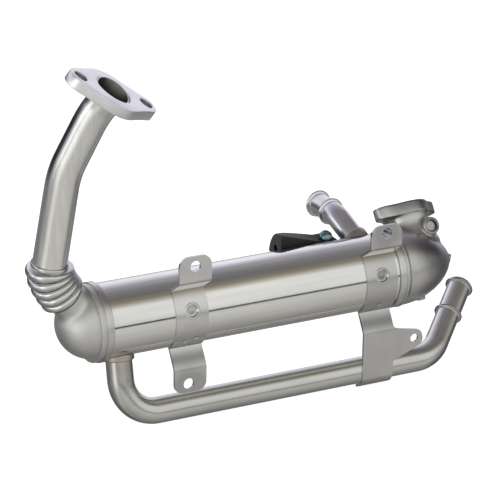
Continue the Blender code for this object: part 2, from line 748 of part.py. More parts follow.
def upper_section(middle_r):
    """Tab and upper joggle, in the sheet's middle, down to the start of the wrap."""
    tab_y = TAB_FACE_Y + SHEET / 2
    wrap = wrap_points(middle_r)
    corners = [Vector((0, tab_y, LEFT_TAB_TOP_Z + 1.0)), Vector((0, tab_y, TAB_FOOT_Z - 1.5)), wrap[0]]
    return rounded_route(corners, [FOLD_R], 20.0) + wrap[1:]


def left_section(middle_r):
    leg_y = LEG_FACE_Y + SHEET / 2
    points = upper_section(middle_r)
    corners = [points.pop(), Vector((0, leg_y, LEG_TOP_Z + 0.5)), Vector((0, leg_y, LEFT_LEG_BOTTOM_Z))]
    return points + rounded_route(corners, [FOLD_R], 20.0)


def lower_pipe_point():
    return lower_stub_direction() * LOWER_PIPE_DROP


def right_section(middle_r):
    """As the left one, but the leg goes on down and turns under the lower pipe as a cradle."""
    pipe = lower_pipe_point()
    cradle_r = LOWER_PIPE_OD / 2 + GAP + SHEET / 2
    leg_y = pipe.y - cradle_r
    points = upper_section(middle_r)
    corners = [points.pop(), Vector((0, leg_y, LEG_TOP_Z + 0.5)), Vector((0, leg_y, pipe.z))]
    points += rounded_route(corners, [FOLD_R], 20.0)[:-1]
    for k in range(8):
        angle = math.radians(CRADLE_WRAP * k / 7)
        points.append(Vector((0.0, pipe.y - cradle_r * math.cos(angle),
                              pipe.z - cradle_r * math.sin(angle))))
    return points


def sheet_part(name, section, left_x, width, outline, holes, dimples):
    """Pressed sheet: a bent strip with its wall, trimmed to a front outline, then pierced."""
    mesh = bpy.data.meshes.new(name)
    work = bmesh.new()
    rows = []
    for point in section:
        low = work.verts.new(Vector((left_x, point.y, point.z)) * MM)
        high = work.verts.new(Vector((left_x + width, point.y, point.z)) * MM)
        rows.append((low, high))
    for (a, b), (c, d) in zip(rows, rows[1:]):
        work.faces.new((a, b, d, c))
    bmesh.ops.recalc_face_normals(work, faces=work.faces)
    work.to_mesh(mesh)
    work.free()
    shade_round(mesh, 50.0)
    part = add_part(name, mesh, SATIN_STEEL)
    wall = part.modifiers.new("wall", "SOLIDIFY")
    wall.thickness = SHEET * MM
    wall.offset = 0.0
    wall.use_even_offset = True
    trim = add_cutter(name + "_trim", plate_mesh(name + "_trim", [outline], 120.0))
    trim.matrix_world = frame_on((0, 0, 0), (0, -1, 0), (1, 0, 0))
    combine(part, trim, "INTERSECT")
    for index, (x, z, diameter) in enumerate(holes):
        hole = rod_cutter(f"{name}_hole_{index}", diameter / 2, (x, 0, z), (0, -1, 0), 15.0, 60.0, 16)
        combine(part, hole, "DIFFERENCE")
    for index, (x, angle, diameter, depth) in enumerate(dimples):
        outward = Vector((0, -math.cos(math.radians(angle)), math.sin(math.radians(angle))))
        face = BODY_R + GAP + SHEET
        profile = [(0.0, face + 3.0), (diameter / 2 + 1.0, face + 3.0), (diameter / 2, face - 0.05),
                   (diameter / 2 - 1.2, face - depth), (0.0, face - depth)]
        dimple = turned_cutter(f"{name}_dimple_{index}", profile, (x, 0, 0), outward, 14)
        combine(part, dimple, "DIFFERENCE")
    return part


def rounded_outline(corners, step=22.5):
    """Closed 2D outline whose corners are arcs, from ((x, y), radius) pairs."""
    points = []
    count = len(corners)
    for index, ((x, y), radius) in enumerate(corners):
        before = corners[index - 1][0]
        after = corners[(index + 1) % count][0]
        route = rounded_route([(*before, 0.0), (x, y, 0.0), (*after, 0.0)], [radius], step)
        points += [(p.x, p.y) for p in route[1:-1]]
    return points


def make_left_bracket():
    left = LEFT_BRACKET_X
    right = left + BRACKET_WIDTH
    middle = (left + right) / 2
    outline = rounded_outline([((left, LEFT_TAB_TOP_Z), TAB_CORNER_R),
                               ((left, LEFT_LEG_BOTTOM_Z), LEG_CORNER_R),
                               ((right, LEFT_LEG_BOTTOM_Z), LEG_CORNER_R),
                               ((right, LEFT_TAB_TOP_Z), TAB_CORNER_R)])
    holes = [(middle, TAB_HOLE_Z, BRACKET_HOLE_D), (middle - 1.4, LEG_HOLE_Z, BRACKET_HOLE_D)]
    dimples = [(middle, DIMPLE_ANGLE, DIMPLE_D, 0.9), (middle - 4.5, -34.0, 3.6, 0.7),
               (middle + 4.5, -30.0, 3.6, 0.7)]
    section = left_section(BODY_R + GAP + SHEET / 2)
    sheet_part("left_bracket", section, left - 1.0, BRACKET_WIDTH + 2.0, outline, holes, dimples)


def make_right_bracket():
    left = RIGHT_BRACKET_X
    right = left + BRACKET_WIDTH
    middle = (left + right) / 2
    ear_x = right + EAR_X
    ear_z = LEG_TOP_Z - 10.5
    bottom = lower_pipe_point().z - LOWER_PIPE_OD / 2 - 6.0
    corners = [((left, RIGHT_TAB_TOP_Z), TAB_CORNER_R), ((left, bottom), 0.0),
               ((right, bottom), 0.0), ((right, LEG_TOP_Z - 26.0), 2.0),
               ((ear_x + 8.5, ear_z - 5.0), 6.0), ((ear_x + 6.0, ear_z + 6.0), 6.0),
               ((right, LEG_TOP_Z + 0.5), 4.0), ((right, RIGHT_TAB_TOP_Z), TAB_CORNER_R)]
    holes = [(middle, TAB_HOLE_Z - 0.8, BRACKET_HOLE_D), (ear_x, ear_z, EAR_HOLE_D)]
    dimples = [(middle, DIMPLE_ANGLE, DIMPLE_D, 0.9), (middle, -33.0, 4.5, 0.7)]
    section = right_section(BODY_R + GAP + SHEET / 2)
    sheet_part("right_bracket", section, left - 1.0, BRACKET_WIDTH + EAR_X + 16.0, rounded_outline(corners),
               holes, dimples)


def tube_places():
    """Centres of the gas tubes in the section of the body, as (Y, Z) pairs."""
    places = []
    for circle_r in (INNER_TUBE_CIRCLE_R, OUTER_TUBE_CIRCLE_R):
        count = math.floor(math.tau * circle_r / TUBE_SPACING)
        for k in range(count):
            angle = math.tau * k / count + math.pi / 2
            places.append((circle_r * math.cos(angle), circle_r * math.sin(angle)))
    return places


def bundle_plate(name, x, thickness, cut_z=None):
    """Round plate drilled for every gas tube; cut_z trims a segment off its top or bottom."""
    radius = SHEET_R
    if cut_z is None:
        edge = circle_2d((0, 0), radius, 32)
    else:
        half = math.degrees(math.acos(abs(cut_z) / radius))
        edge = arc_2d((0, 0), radius, 90.0 + half, 450.0 - half, 26)
        edge = [(y, z if cut_z > 0 else -z) for y, z in edge]
    holes = [circle_2d(place, TUBE_OD / 2 + GAP, TUBE_SIDES) for place in tube_places()]
    part = add_part(name, plate_mesh(name, [edge] + holes, thickness), SATIN_STEEL)
    part.matrix_world = frame_on((x, 0, 0), (1, 0, 0), (0, 1, 0))


def make_tube_bundle():
    inlet_x = -INLET_COLLAR_LENGTH + GAP + TUBE_SHEET_THICKNESS
    outlet_x = BODY_LENGTH + OUTLET_COLLAR_LENGTH - GAP - TUBE_SHEET_THICKNESS
    bundle_plate("inlet_tube_sheet", inlet_x, TUBE_SHEET_THICKNESS)
    bundle_plate("outlet_tube_sheet", outlet_x, TUBE_SHEET_THICKNESS)
    bundle_plate("baffle_1", BODY_LENGTH * 0.36, BAFFLE_THICKNESS, BAFFLE_CUT)
    bundle_plate("baffle_2", BODY_LENGTH * 0.66, BAFFLE_THICKNESS, -BAFFLE_CUT)
    low = inlet_x - TUBE_SHEET_THICKNESS / 2 - 0.5
    high = outlet_x + TUBE_SHEET_THICKNESS / 2 + 0.5
    profile = ring_profile(TUBE_OD / 2 - TUBE_WALL, TUBE_OD / 2, low, high)
    for number, (y, z) in enumerate(tube_places(), 1):
        turned_part(f"gas_tube_{number:02d}", profile, (0, y, z), (1, 0, 0), SATIN_STEEL, TUBE_SIDES)


def make_clip():
    """Black plastic clip behind the body: a sloping wedge on a foot that the screw holds down."""
    end_x = CLIP_X + CLIP_LENGTH
    side = [(CLIP_X, CLIP_BASE_Z), (end_x, CLIP_BASE_Z), (end_x, CLIP_FOOT_TOP_Z),
            (CLIP_RIDGE_END_X, CLIP_FOOT_TOP_Z), (CLIP_X + 1.0, CLIP_RIDGE_Z), (CLIP_X, CLIP_RIDGE_Z)]
    clip = add_part("clip_bracket", plate_mesh("clip_bracket", [side], CLIP_DEPTH), BLACK_PLASTIC)
    clip.matrix_world = frame_on((0, CLIP_FRONT_Y + CLIP_DEPTH / 2, 0), (0, -1, 0), (1, 0, 0))
    back_y = CLIP_FRONT_Y + CLIP_DEPTH
    ridge_y = CLIP_FRONT_Y + CLIP_RIDGE
    rise = (CLIP_RIDGE_Z - CLIP_BASE_Z) / (back_y - ridge_y)
    slope = [(ridge_y - 2.0, CLIP_RIDGE_Z + 2.0 * rise), (back_y + 2.0, CLIP_RIDGE_Z + 2.0 * rise),
             (back_y + 2.0, CLIP_BASE_Z - 2.0 * rise)]
    cutter = add_cutter("clip_slope", plate_mesh("clip_slope", [slope], 120.0))
    cutter.matrix_world = frame_on((CLIP_X + 20.0, 0, 0), (1, 0, 0), (0, 1, 0))
    channel = rod_cutter("clip_channel", 2.6, (CLIP_X, CLIP_FRONT_Y + 9.0, CLIP_BASE_Z + 5.5),
                         (1, 0, 0), -5.0, 24.0, 12)
    screw_hole = rod_cutter("clip_screw_hole", SCREW_SHANK_D / 2 + GAP, (SCREW_X, SCREW_Y, 0),
                            (0, 0, 1), CLIP_BASE_Z - 3.0, CLIP_FOOT_TOP_Z + 3.0, 16)
    for cut in (cutter, channel, screw_hole):
        combine(clip, cut, "DIFFERENCE")
    combine(clip, body_axis_cutter("clip_saddle", BODY_R + GAP), "DIFFERENCE")


def make_clip_fixings():
    """Pan head screw down through the clip's foot, and the welded stud boss it turns into."""
    base = CLIP_FOOT_TOP_Z + GAP
    top = base + SCREW_HEAD_HEIGHT
    head_r = SCREW_HEAD_D / 2
    profile = [(0.0, top - 2.2), (1.7, top - 2.2), (2.0, top - 0.2)]
    profile += [(head_r * math.sin(math.radians(angle)),
                 base + 1.0 + (SCREW_HEAD_HEIGHT - 1.0) * math.cos(math.radians(angle)))
                for angle in (28.0, 45.0, 62.0, 78.0, 90.0)]
    tip = SCREW_TIP_Z
    profile += [(head_r, base), (SCREW_SHANK_D / 2, base), (SCREW_SHANK_D / 2, tip), (0.0, tip)]
    turned_part("clip_screw", profile, (SCREW_X, SCREW_Y, 0), (0, 0, 1), ZINC_PLATE, 20, False)


def move_to_datum():
    """Hang everything from an empty, so that the origin is on the left bracket's upper tab."""
    datum = bpy.data.objects.new("datum", None)
    PARTS.objects.link(datum)
    shift = Vector((LEFT_BRACKET_X + BRACKET_WIDTH / 2, TAB_FACE_Y, TAB_FOOT_Z + 4.0)) * MM
    for obj in list(PARTS.objects) + list(CUTTERS.objects):
        if obj is not datum:
            obj.parent = datum
    datum.location = -shift


def main():
    make_body_shell()
    make_collars()
    make_inlet_dome()
    bellows_end = make_bellows()
    corners = gas_pipe_corners(bellows_end)
    make_gas_pipe(corners)
    make_gas_flange(corners[-1])
    make_outlet_housing()
    make_lower_pipe()
    make_upper_pipe()
    make_pipe_rings()
    make_left_bracket()
    make_right_bracket()
    make_tube_bundle()
    make_clip()
    make_clip_fixings()
    move_to_datum()


main()
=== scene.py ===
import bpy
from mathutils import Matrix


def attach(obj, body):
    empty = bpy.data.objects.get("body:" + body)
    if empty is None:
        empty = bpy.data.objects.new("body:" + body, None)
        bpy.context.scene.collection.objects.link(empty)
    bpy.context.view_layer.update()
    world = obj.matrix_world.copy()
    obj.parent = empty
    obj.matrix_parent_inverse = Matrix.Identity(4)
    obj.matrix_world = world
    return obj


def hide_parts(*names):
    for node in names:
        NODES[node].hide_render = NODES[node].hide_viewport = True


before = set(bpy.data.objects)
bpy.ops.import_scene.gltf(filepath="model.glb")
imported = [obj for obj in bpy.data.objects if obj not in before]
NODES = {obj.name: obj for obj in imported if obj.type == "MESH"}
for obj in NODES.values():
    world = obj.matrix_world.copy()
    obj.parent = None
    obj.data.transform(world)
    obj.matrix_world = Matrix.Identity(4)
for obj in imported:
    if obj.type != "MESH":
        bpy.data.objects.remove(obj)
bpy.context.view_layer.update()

import math

import bmesh
import bpy
from mathutils import Matrix, Vector

MM = 0.001


# Everything is modelled in millimetres, with X along the body's axis and the origin where its
# inlet end starts. SHIFT is the record's origin in that frame.
SHIFT = Vector((62.3, -34.0, 37.0))
GAP = 0.3
BODY_R = 28.0
BODY_LENGTH = 238.5
IN_COLLAR = 5.2
OUT_COLLAR = 5.0
COLLAR_R = 29.9
DOME_R = 26.6
NECK_R = 14.2
NECK_REACH = 30.5
NECK_DIR = Vector((-math.cos(math.radians(49.6)), 0.0, math.sin(math.radians(49.6))))
RISE = Vector((0.113, -0.116, 0.987)).normalized()
LEAN = Vector((0.324, -0.290, 0.900)).normalized()
TOP = Vector((0.425, -0.444, 0.789)).normalized()
FLANGE_N = Vector((0.482, -0.294, 0.825)).normalized()
FLANGE_T = Vector((0.874, 0.094, -0.477)).normalized()
OUT_DIR = Vector((-0.010, 0.572, 0.821)).normalized()
OUT_LINE = Vector((0.954, 0.250, -0.163)).normalized()
OUT_X = 270.8
OUT_HEIGHT = 45.4
PORT_DIR = Vector((-0.030, -0.878, 0.478)).normalized()
PORT_HEIGHT = 24.7
PORT_SIDE_STEP = 8.2
PORT_REACH = 22.3
LOWER_DIR = Vector((0.676, 0.573, 0.464)).normalized()
UPPER_DIR = Vector((-0.18, 0.831, 0.527)).normalized()
UPPER_END_DIR = Vector((0, 1, 0))
OUT_THICK = 9.5
OUT_BOLT_X = 21.0
LOWER_STUB_X = 14.0
LOWER_END_X = 275.8
LOWER_DROP = 73.7
LOWER_R = 9.9
LOWER_SPIGOT_R = 9.2
UPPER_R = 8.7
WATER_WALL = 1.5
WATER_SIDES = 72
GAS_FLANGE_THICK = 8.0
GAS_BOLT_X = 30.25
SHEET = 2.0
BRACKET_WIDTH = 26.2
LEFT_BRACKET_X = 49.2
RIGHT_BRACKET_X = 208.6
DIMPLE_ANGLE = 14.5
LEG_BEND_Z = -38.0
LEFT_LEG_END_Z = -57.0
SCREW_SPOT = (200.0, 20.0, 0)
X_AXIS = (1, 0, 0)
ORIGIN = (0, 0, 0)


def row(point):
    """Point of the modelling frame in metres in the record's frame."""
    return (Vector(point) - SHIFT) * MM


def on_axis(x):
    return Vector((x, 0, 0))


def radial(angle_from_top):
    """Direction across the body, by its angle from straight up toward the back."""
    angle = math.radians(angle_from_top)
    return Vector((0.0, math.sin(angle), math.cos(angle)))


def outward(angle_from_front):
    """Direction across the body, by its angle from straight forward toward the top."""
    angle = math.radians(angle_from_front)
    return Vector((0, -math.cos(angle), math.sin(angle)))


DOWN = radial(191.3)
UPPER_SEAT = on_axis(222.5) + radial(36.0) * BODY_R


# ---- meshes ----

def put_mesh(name, verts, faces, limit=40.0):
    """Object from millimetre vertices in the modelling frame, shaded smooth up to an angle."""
    mesh = bpy.data.meshes.new(name)
    mesh.from_pydata([tuple(row(v)) for v in verts], [], faces)
    mesh.validate()
    work = bmesh.new()
    work.from_mesh(mesh)
    bmesh.ops.remove_doubles(work, verts=work.verts, dist=0.0000005)
    bmesh.ops.recalc_face_normals(work, faces=work.faces)
    work.to_mesh(mesh)
    work.free()
    mesh.shade_smooth()
    mesh.set_sharp_from_angle(angle=math.radians(limit))
    obj = bpy.data.objects.new(name, mesh)
    bpy.context.scene.collection.objects.link(obj)
    return obj


def axes_on(direction, across=None):
    """Right-handed axes whose z is the direction and whose x lies toward across."""
    z = Vector(direction).normalized()
    guess = Vector(across) if across else Vector((0, 0, 1)).cross(z)
    if guess.length < 0.001:
        guess = Vector((1, 0, 0))
    x = (guess - guess.dot(z) * z).normalized()
    return x, z.cross(x), z


def circle(origin, x, y, radius, steps, lift):
    """Vertices of one ring, lifted from the origin by a vector."""
    turns = [math.tau * k / steps for k in range(steps)]
    return [origin + x * radius * math.cos(a) + y * radius * math.sin(a) + lift for a in turns]


def lathe(name, profile, origin, direction, steps=96, closed=True, limit=40.0):
    """Turned shape from (radius, height) pairs; a closed profile makes a ring."""
    x, y, z = axes_on(direction)
    origin = Vector(origin)
    verts = []
    for radius, height in profile:
        verts += circle(origin, x, y, radius, steps, z * height)
    faces = []
    rows = len(profile)
    for i in range(rows if closed else rows - 1):
        j = (i + 1) % rows
        for k in range(steps):
            m = (k + 1) % steps
            faces.append((i * steps + k, i * steps + m, j * steps + m, j * steps + k))
    return put_mesh(name, verts, faces, limit)


def sweep(name, points, radii, wall=0.0, sides=64, limit=40.0):
    """Pipe along points with one radius each; wall gives it an inner skin and rounded mouths."""
    points = [Vector(p) for p in points]
    tangents = []
    for i in range(len(points)):
        a = points[max(0, i - 1)]
        b = points[min(len(points) - 1, i + 1)]
        tangents.append((b - a).normalized())
    normal = axes_on(tangents[0])[0]
    frames = []
    for i, t in enumerate(tangents):
        if i:
            turn = tangents[i - 1].rotation_difference(t)
            normal = turn @ normal
            normal = (normal - normal.dot(t) * t).normalized()
        frames.append((normal.copy(), t.cross(normal)))
    rings = [(points[i], frames[i], radii[i]) for i in range(len(points))]
    if wall:
        lip = min(0.4, wall * 0.4)
        first, last = rings[0], rings[-1]
        head = (first[0] + tangents[0] * lip * 0.6, first[1], first[2])
        tail = (last[0] - tangents[-1] * lip * 0.6, last[1], last[2])
        skin = [head] + rings[1:-1] + [tail]
        skin.append((last[0], last[1], last[2] - lip))
        skin.append((last[0], last[1], last[2] - wall + lip))
        for p, f, r in [tail] + rings[-2:0:-1] + [head]:
            skin.append((p, f, r - wall))
        skin.append((first[0], first[1], first[2] - wall + lip))
        skin.append((first[0], first[1], first[2] - lip))
        rings = skin
    verts = []
    for p, (u, v), r in rings:
        for k in range(sides):
            a = math.tau * k / sides
            verts.append(p + u * r * math.cos(a) + v * r * math.sin(a))
    faces = []
    count = len(rings)
    for i in range(count if wall else count - 1):
        j = (i + 1) % count
        for k in range(sides):
            m = (k + 1) % sides
            faces.append((i * sides + k, i * sides + m, j * sides + m, j * sides + k))
    return put_mesh(name, verts, faces, limit)


def arc(centre, radius, start, end, count):
    """Points of a flat arc between two angles in degrees."""
    out = []
    for k in range(count + 1):
        a = math.radians(start + (end - start) * k / count)
        out.append((centre[0] + radius * math.cos(a), centre[1] + radius * math.sin(a)))
    return out


def route(corners, radii, step=3.0):
    """Points along a polyline whose inner corners are arcs."""
    points = [Vector(corners[0])]
    for i in range(1, len(corners) - 1):
        corner = Vector(corners[i])
        before = (corner - Vector(corners[i - 1])).normalized()
        after = (Vector(corners[i + 1]) - corner).normalized()
        turn = before.angle(after)
        radius = radii[i - 1]
        if turn < math.radians(0.5) or radius <= 0:
            points.append(corner)
            continue
        axis = before.cross(after).normalized()
        start = corner - before * radius * math.tan(turn / 2)
        centre = start + axis.cross(before) * radius
        count = max(3, math.ceil(turn / math.radians(step)))
        for k in range(count + 1):
            points.append(centre + Matrix.Rotation(turn * k / count, 3, axis) @ (start - centre))
    points.append(Vector(corners[-1]))
    return points


def outline_of(corners, step=6.0):
    """Closed outline from ((x, y), corner radius) pairs."""
    points = []
    count = len(corners)
    for i, ((x, y), radius) in enumerate(corners):
        before = corners[i - 1][0]
        after = corners[(i + 1) % count][0]
        part = route([(*before, 0.0), (x, y, 0.0), (*after, 0.0)], [radius], step)
        points += [(p.x, p.y) for p in part[1:-1]]
    return points


def eared(hub_r, ear_r, ear_x, waist_r, count=16):
    """Outline of a flange with a round hub and two ears, joined by hollow waists."""
    hub = hub_r + waist_r
    ear = ear_r + waist_r
    wx = (hub ** 2 - ear ** 2 + ear_x ** 2) / (2 * ear_x)
    wy = math.sqrt(hub ** 2 - wx ** 2)
    hub_a = math.degrees(math.atan2(wy, wx))
    ear_a = math.degrees(math.atan2(wy, wx - ear_x))
    quarter = arc((ear_x, 0.0), ear_r, 0.0, ear_a, count)
    quarter += arc((wx, wy), waist_r, ear_a + 180.0, hub_a + 180.0, 8)[1:-1]
    quarter += arc((0.0, 0.0), hub_r, hub_a, 90.0, 12)
    upper = quarter + [(-x, y) for x, y in reversed(quarter[:-1])]
    return upper + [(x, -y) for x, y in reversed(upper[1:-1])]


def to_mesh_object(obj, name):
    """Replace an object by a plain mesh of itself with its modifiers applied."""
    bpy.context.view_layer.update()
    graph = bpy.context.evaluated_depsgraph_get()
    mesh = bpy.data.meshes.new_from_object(obj.evaluated_get(graph))
    mesh.transform(obj.matrix_world)
    bpy.data.objects.remove(obj, do_unlink=True)
    out = bpy.data.objects.new(name, mesh)
    bpy.context.scene.collection.objects.link(out)
    return out


def plate(name, outlines, thickness, centre, normal, across, edge=0.5):
    """Flat plate with rounded edges; the first outline is its rim, the others are holes."""
    curve = bpy.data.curves.new(name, "CURVE")
    curve.dimensions = "2D"
    curve.fill_mode = "BOTH"
    curve.extrude = (thickness / 2 - edge) * MM
    curve.bevel_depth = edge * MM
    curve.bevel_resolution = 3
    curve.offset = -edge * MM
    for outline in outlines:
        spline = curve.splines.new("POLY")
        spline.points.add(len(outline) - 1)
        spline.use_cyclic_u = True
        for knot, (px, py) in zip(spline.points, outline):
            knot.co = (px * MM, py * MM, 0.0, 1.0)
    obj = bpy.data.objects.new(name + "_curve", curve)
    bpy.context.scene.collection.objects.link(obj)
    x, y, z = axes_on(normal, across)
    matrix = Matrix((x, y, z)).transposed().to_4x4()
    matrix.translation = row(centre)
    obj.matrix_world = matrix
    out = to_mesh_object(obj, name)
    work = bmesh.new()
    work.from_mesh(out.data)
    bmesh.ops.remove_doubles(work, verts=work.verts, dist=0.000002)
    bmesh.ops.recalc_face_normals(work, faces=work.faces)
    work.to_mesh(out.data)
    work.free()
    out.data.shade_smooth()
    out.data.set_sharp_from_angle(angle=math.radians(50.0))
    return out


def boolean(target, tool, operation):
    """Apply one Boolean to target's mesh and drop the tool."""
    name = target.name
    modifier = target.modifiers.new("cut", "BOOLEAN")
    modifier.operation = operation
    modifier.object = tool
    modifier.solver = "EXACT"
    target.name = name + "_old"
    out = to_mesh_object(target, name)
    bpy.data.objects.remove(tool, do_unlink=True)
    out.data.shade_smooth()
    out.data.set_sharp_from_angle(angle=math.radians(35.0))
    return out


def rod(name, radius, origin, direction, low, high, steps=64):
    """Cylinder along a direction, from low to high off its origin."""
    x, y, z = axes_on(direction)
    origin = Vector(origin)
    verts = []
    for height in (low, high):
        verts += circle(origin, x, y, radius, steps, z * height)
    faces = [(k, (k + 1) % steps, steps + (k + 1) % steps, steps + k) for k in range(steps)]
    faces.append(tuple(reversed(range(steps))))
    faces.append(tuple(range(steps, 2 * steps)))
    return put_mesh(name, verts, faces)


def solid_of(name, profile, origin, direction, steps=64):
    """Solid of revolution whose profile starts and ends on the axis."""
    x, y, z = axes_on(direction)
    origin = Vector(origin)
    verts = []
    rings = []
    for radius, height in profile:
        if radius < 0.001:
            rings.append([len(verts)])
            verts.append(origin + z * height)
        else:
            rings.append(list(range(len(verts), len(verts) + steps)))
            verts += circle(origin, x, y, radius, steps, z * height)
    faces = []
    for a, b in zip(rings, rings[1:]):
        for k in range(steps):
            m = (k + 1) % steps
            if len(a) == 1:
                faces.append((a[0], b[m], b[k]))
            elif len(b) == 1:
                faces.append((a[k], a[m], b[0]))
            else:
                faces.append((a[k], a[m], b[m], b[k]))
    return put_mesh(name, verts, faces)


def body_rod(name, radius, steps=160):
    """Cylinder on the body's axis, longer than the whole part."""
    return rod(name, radius, ORIGIN, X_AXIS, -80.0, 320.0, steps)


def soften_edges(obj, width, angle):
    bevel = obj.modifiers.new("edge", "BEVEL")
    bevel.width = width * MM
    bevel.segments = 2
    bevel.limit_method = "ANGLE"
    bevel.angle_limit = math.radians(angle)
    return bevel


# ---- materials ----

def new_material(name):
    material = bpy.data.materials.new(name)
    material.use_nodes = True
    tree = material.node_tree
    return material, tree, tree.nodes["Principled BSDF"]


def math_of(tree, operation, first, second=None):
    node = tree.nodes.new("ShaderNodeMath")
    node.operation = operation
    for socket, value in zip(node.inputs, (first, second)):
        if value is None:
            continue
        if isinstance(value, float):
            socket.default_value = value
        else:
            tree.links.new(value, socket)
    return node.outputs["Value"]


def mapped(tree, value, from_min, from_max, to_min=0.0, to_max=1.0, smooth=False):
    node = tree.nodes.new("ShaderNodeMapRange")
    if smooth:
        node.interpolation_type = "SMOOTHSTEP"
    node.inputs["From Min"].default_value = from_min
    node.inputs["From Max"].default_value = from_max
    node.inputs["To Min"].default_value = to_min
    node.inputs["To Max"].default_value = to_max
    tree.links.new(value, node.inputs["Value"])
    return node.outputs["Result"]


def object_coords(tree):
    return tree.nodes.new("ShaderNodeTexCoord").outputs["Object"]


def split_of(tree, vector):
    node = tree.nodes.new("ShaderNodeSeparateXYZ")
    tree.links.new(vector, node.inputs["Vector"])
    return [node.outputs[axis] for axis in "XYZ"]


def blended(tree, factor, base, color):
    """The base colour, with the other colour by a factor."""
    mix = tree.nodes.new("ShaderNodeMix")
    mix.data_type = "RGBA"
    tree.links.new(factor, mix.inputs["Factor"])
    tree.links.new(base, mix.inputs[6])
    mix.inputs[7].default_value = color
    return mix.outputs[2]


def noise(tree, scale, detail, stretch=(1, 1, 1), rough=0.5):
    mapping = tree.nodes.new("ShaderNodeMapping")
    mapping.inputs["Scale"].default_value = stretch
    texture = tree.nodes.new("ShaderNodeTexNoise")
    texture.inputs["Scale"].default_value = scale
    texture.inputs["Detail"].default_value = detail
    texture.inputs["Roughness"].default_value = rough
    tree.links.new(object_coords(tree), mapping.inputs["Vector"])
    tree.links.new(mapping.outputs["Vector"], texture.inputs["Vector"])
    return texture.outputs["Fac"]


def ramp_between(tree, source, low, high, start=0.35, end=0.65):
    ramp = tree.nodes.new("ShaderNodeValToRGB")
    ramp.color_ramp.elements[0].position = start
    ramp.color_ramp.elements[1].position = end
    ramp.color_ramp.elements[0].color = low
    ramp.color_ramp.elements[1].color = high
    tree.links.new(source, ramp.inputs["Fac"])
    return ramp


def bump(tree, shader, source, strength, distance):
    node = tree.nodes.new("ShaderNodeBump")
    node.inputs["Strength"].default_value = strength
    node.inputs["Distance"].default_value = distance
    tree.links.new(source, node.inputs["Height"])
    tree.links.new(node.outputs["Normal"], shader.inputs["Normal"])


def tinted(tree, base, stains_and_painted_light):
    """Colour with soft spots, real stains as well as painted shade and painted highlights: (centre, (full
    radius, end radius), (colour, share)) entries.
    """
    coords = object_coords(tree)
    for centre, (full, end), (color, share) in stains_and_painted_light:
        distance = tree.nodes.new("ShaderNodeVectorMath")
        distance.operation = "DISTANCE"
        distance.inputs[1].default_value = row(centre)
        tree.links.new(coords, distance.inputs[0])
        factor = mapped(tree, distance.outputs["Value"], full * MM, end * MM, share, 0.0)
        base = blended(tree, factor, base, color)
    return base


def banded(tree, base, middle, half, hue):
    """Colour with a soft band around a height: half its width, (colour, share)."""
    height = split_of(tree, object_coords(tree))[2]
    distance = math_of(tree, "ABSOLUTE", math_of(tree, "SUBTRACT", height, row((0, 0, middle)).z))
    factor = mapped(tree, distance, 0.0, half * MM, hue[1], 0.0, smooth=True)
    return blended(tree, factor, base, hue[0])


def surface(tree, shader, cloud, rough, grain, depth, fine):
    """Uneven roughness from the cloud and a fine grain as bump."""
    tree.links.new(mapped(tree, cloud, 0.0, 1.0, *rough), shader.inputs["Roughness"])
    bump(tree, shader, fine, grain, depth)


def metal_shade(tree, shader, cloud, color, dark_share):
    shader.inputs["Metallic"].default_value = 1.0
    dark = tuple(c * dark_share for c in color[:3]) + (1.0,)
    return ramp_between(tree, cloud, dark, color).outputs["Color"]


def steel(name, color, rough=(0.2, 0.3), stretch=(1, 1, 1), grain=0.25, stains_and_painted_light=(), band=()):
    """Satin stainless steel: faint streaks in colour and roughness, fine grain, optional stains, painted
    shade and painted highlights.
    """
    material, tree, shader = new_material(name)
    cloud = noise(tree, 60.0, 5.0, stretch)
    fine = noise(tree, 900.0, 3.0, stretch)
    base = tinted(tree, metal_shade(tree, shader, cloud, color, 0.9), stains_and_painted_light)
    if band:
        base = banded(tree, base, *band)
    tree.links.new(base, shader.inputs["Base Color"])
    surface(tree, shader, cloud, rough, grain, 0.00006, fine)
    return material


def cast(name, color, rough, stains_and_painted_light):
    """Cast stainless: a finely pitted skin, duller than the drawn steel."""
    material, tree, shader = new_material(name)
    cloud = noise(tree, 45.0, 6.0)
    pits = noise(tree, 1400.0, 4.0, rough=0.6)
    base = tinted(tree, metal_shade(tree, shader, cloud, color, 0.8), stains_and_painted_light)
    tree.links.new(base, shader.inputs["Base Color"])
    surface(tree, shader, cloud, rough, 0.4, 0.0001, pits)
    return material


def plastic(name, color, rough):
    """Black moulding with a fine pebble grain."""
    material, tree, shader = new_material(name)
    shader.inputs["Base Color"].default_value = color
    pebble = noise(tree, 1600.0, 2.0)
    surface(tree, shader, pebble, (rough - 0.08, rough + 0.08), 0.3, 0.00005, pebble)
    return material


def dimple_at(x, angle, depth):
    """Bottom of a dimple in a bracket's wrap, at an angle above the horizon."""
    reach = BODY_R + GAP + SHEET - depth
    return Vector((x, -reach * math.cos(math.radians(angle)), reach * math.sin(math.radians(angle))))


BROWN = (0.42, 0.33, 0.24, 1.0)
DARK = (0.13, 0.125, 0.12, 1.0)
RING_LOWER = on_axis(LOWER_STUB_X) + DOWN * (BODY_R + 1.0)
LOWER_CORNERS = [on_axis(LOWER_STUB_X) + DOWN * LOWER_DROP, on_axis(LOWER_END_X) + DOWN * LOWER_DROP]
HOSE_MID = LOWER_CORNERS[1] + LOWER_DIR * 50.0
BODY_STEEL = steel("body_steel", (0.82, 0.81, 0.79, 1.0), (0.07, 0.13), (0.15, 3.0, 3.0), 0.1,
                   [(RING_LOWER, (9.0, 20.0), (BROWN, 0.45)),
                    (UPPER_SEAT, (9.0, 20.0), (BROWN, 0.35))])
DRAWN_STEEL = steel("drawn_steel", (0.66, 0.655, 0.63, 1.0), (0.24, 0.34))
DOME_STEEL = steel("dome_steel", (0.71, 0.705, 0.69, 1.0), (0.42, 0.52), (1, 1, 1), 0.2)
PIPE_STEEL = steel("pipe_steel", (0.84, 0.84, 0.82, 1.0), (0.15, 0.24), (4.0, 4.0, 0.3), 0.15)
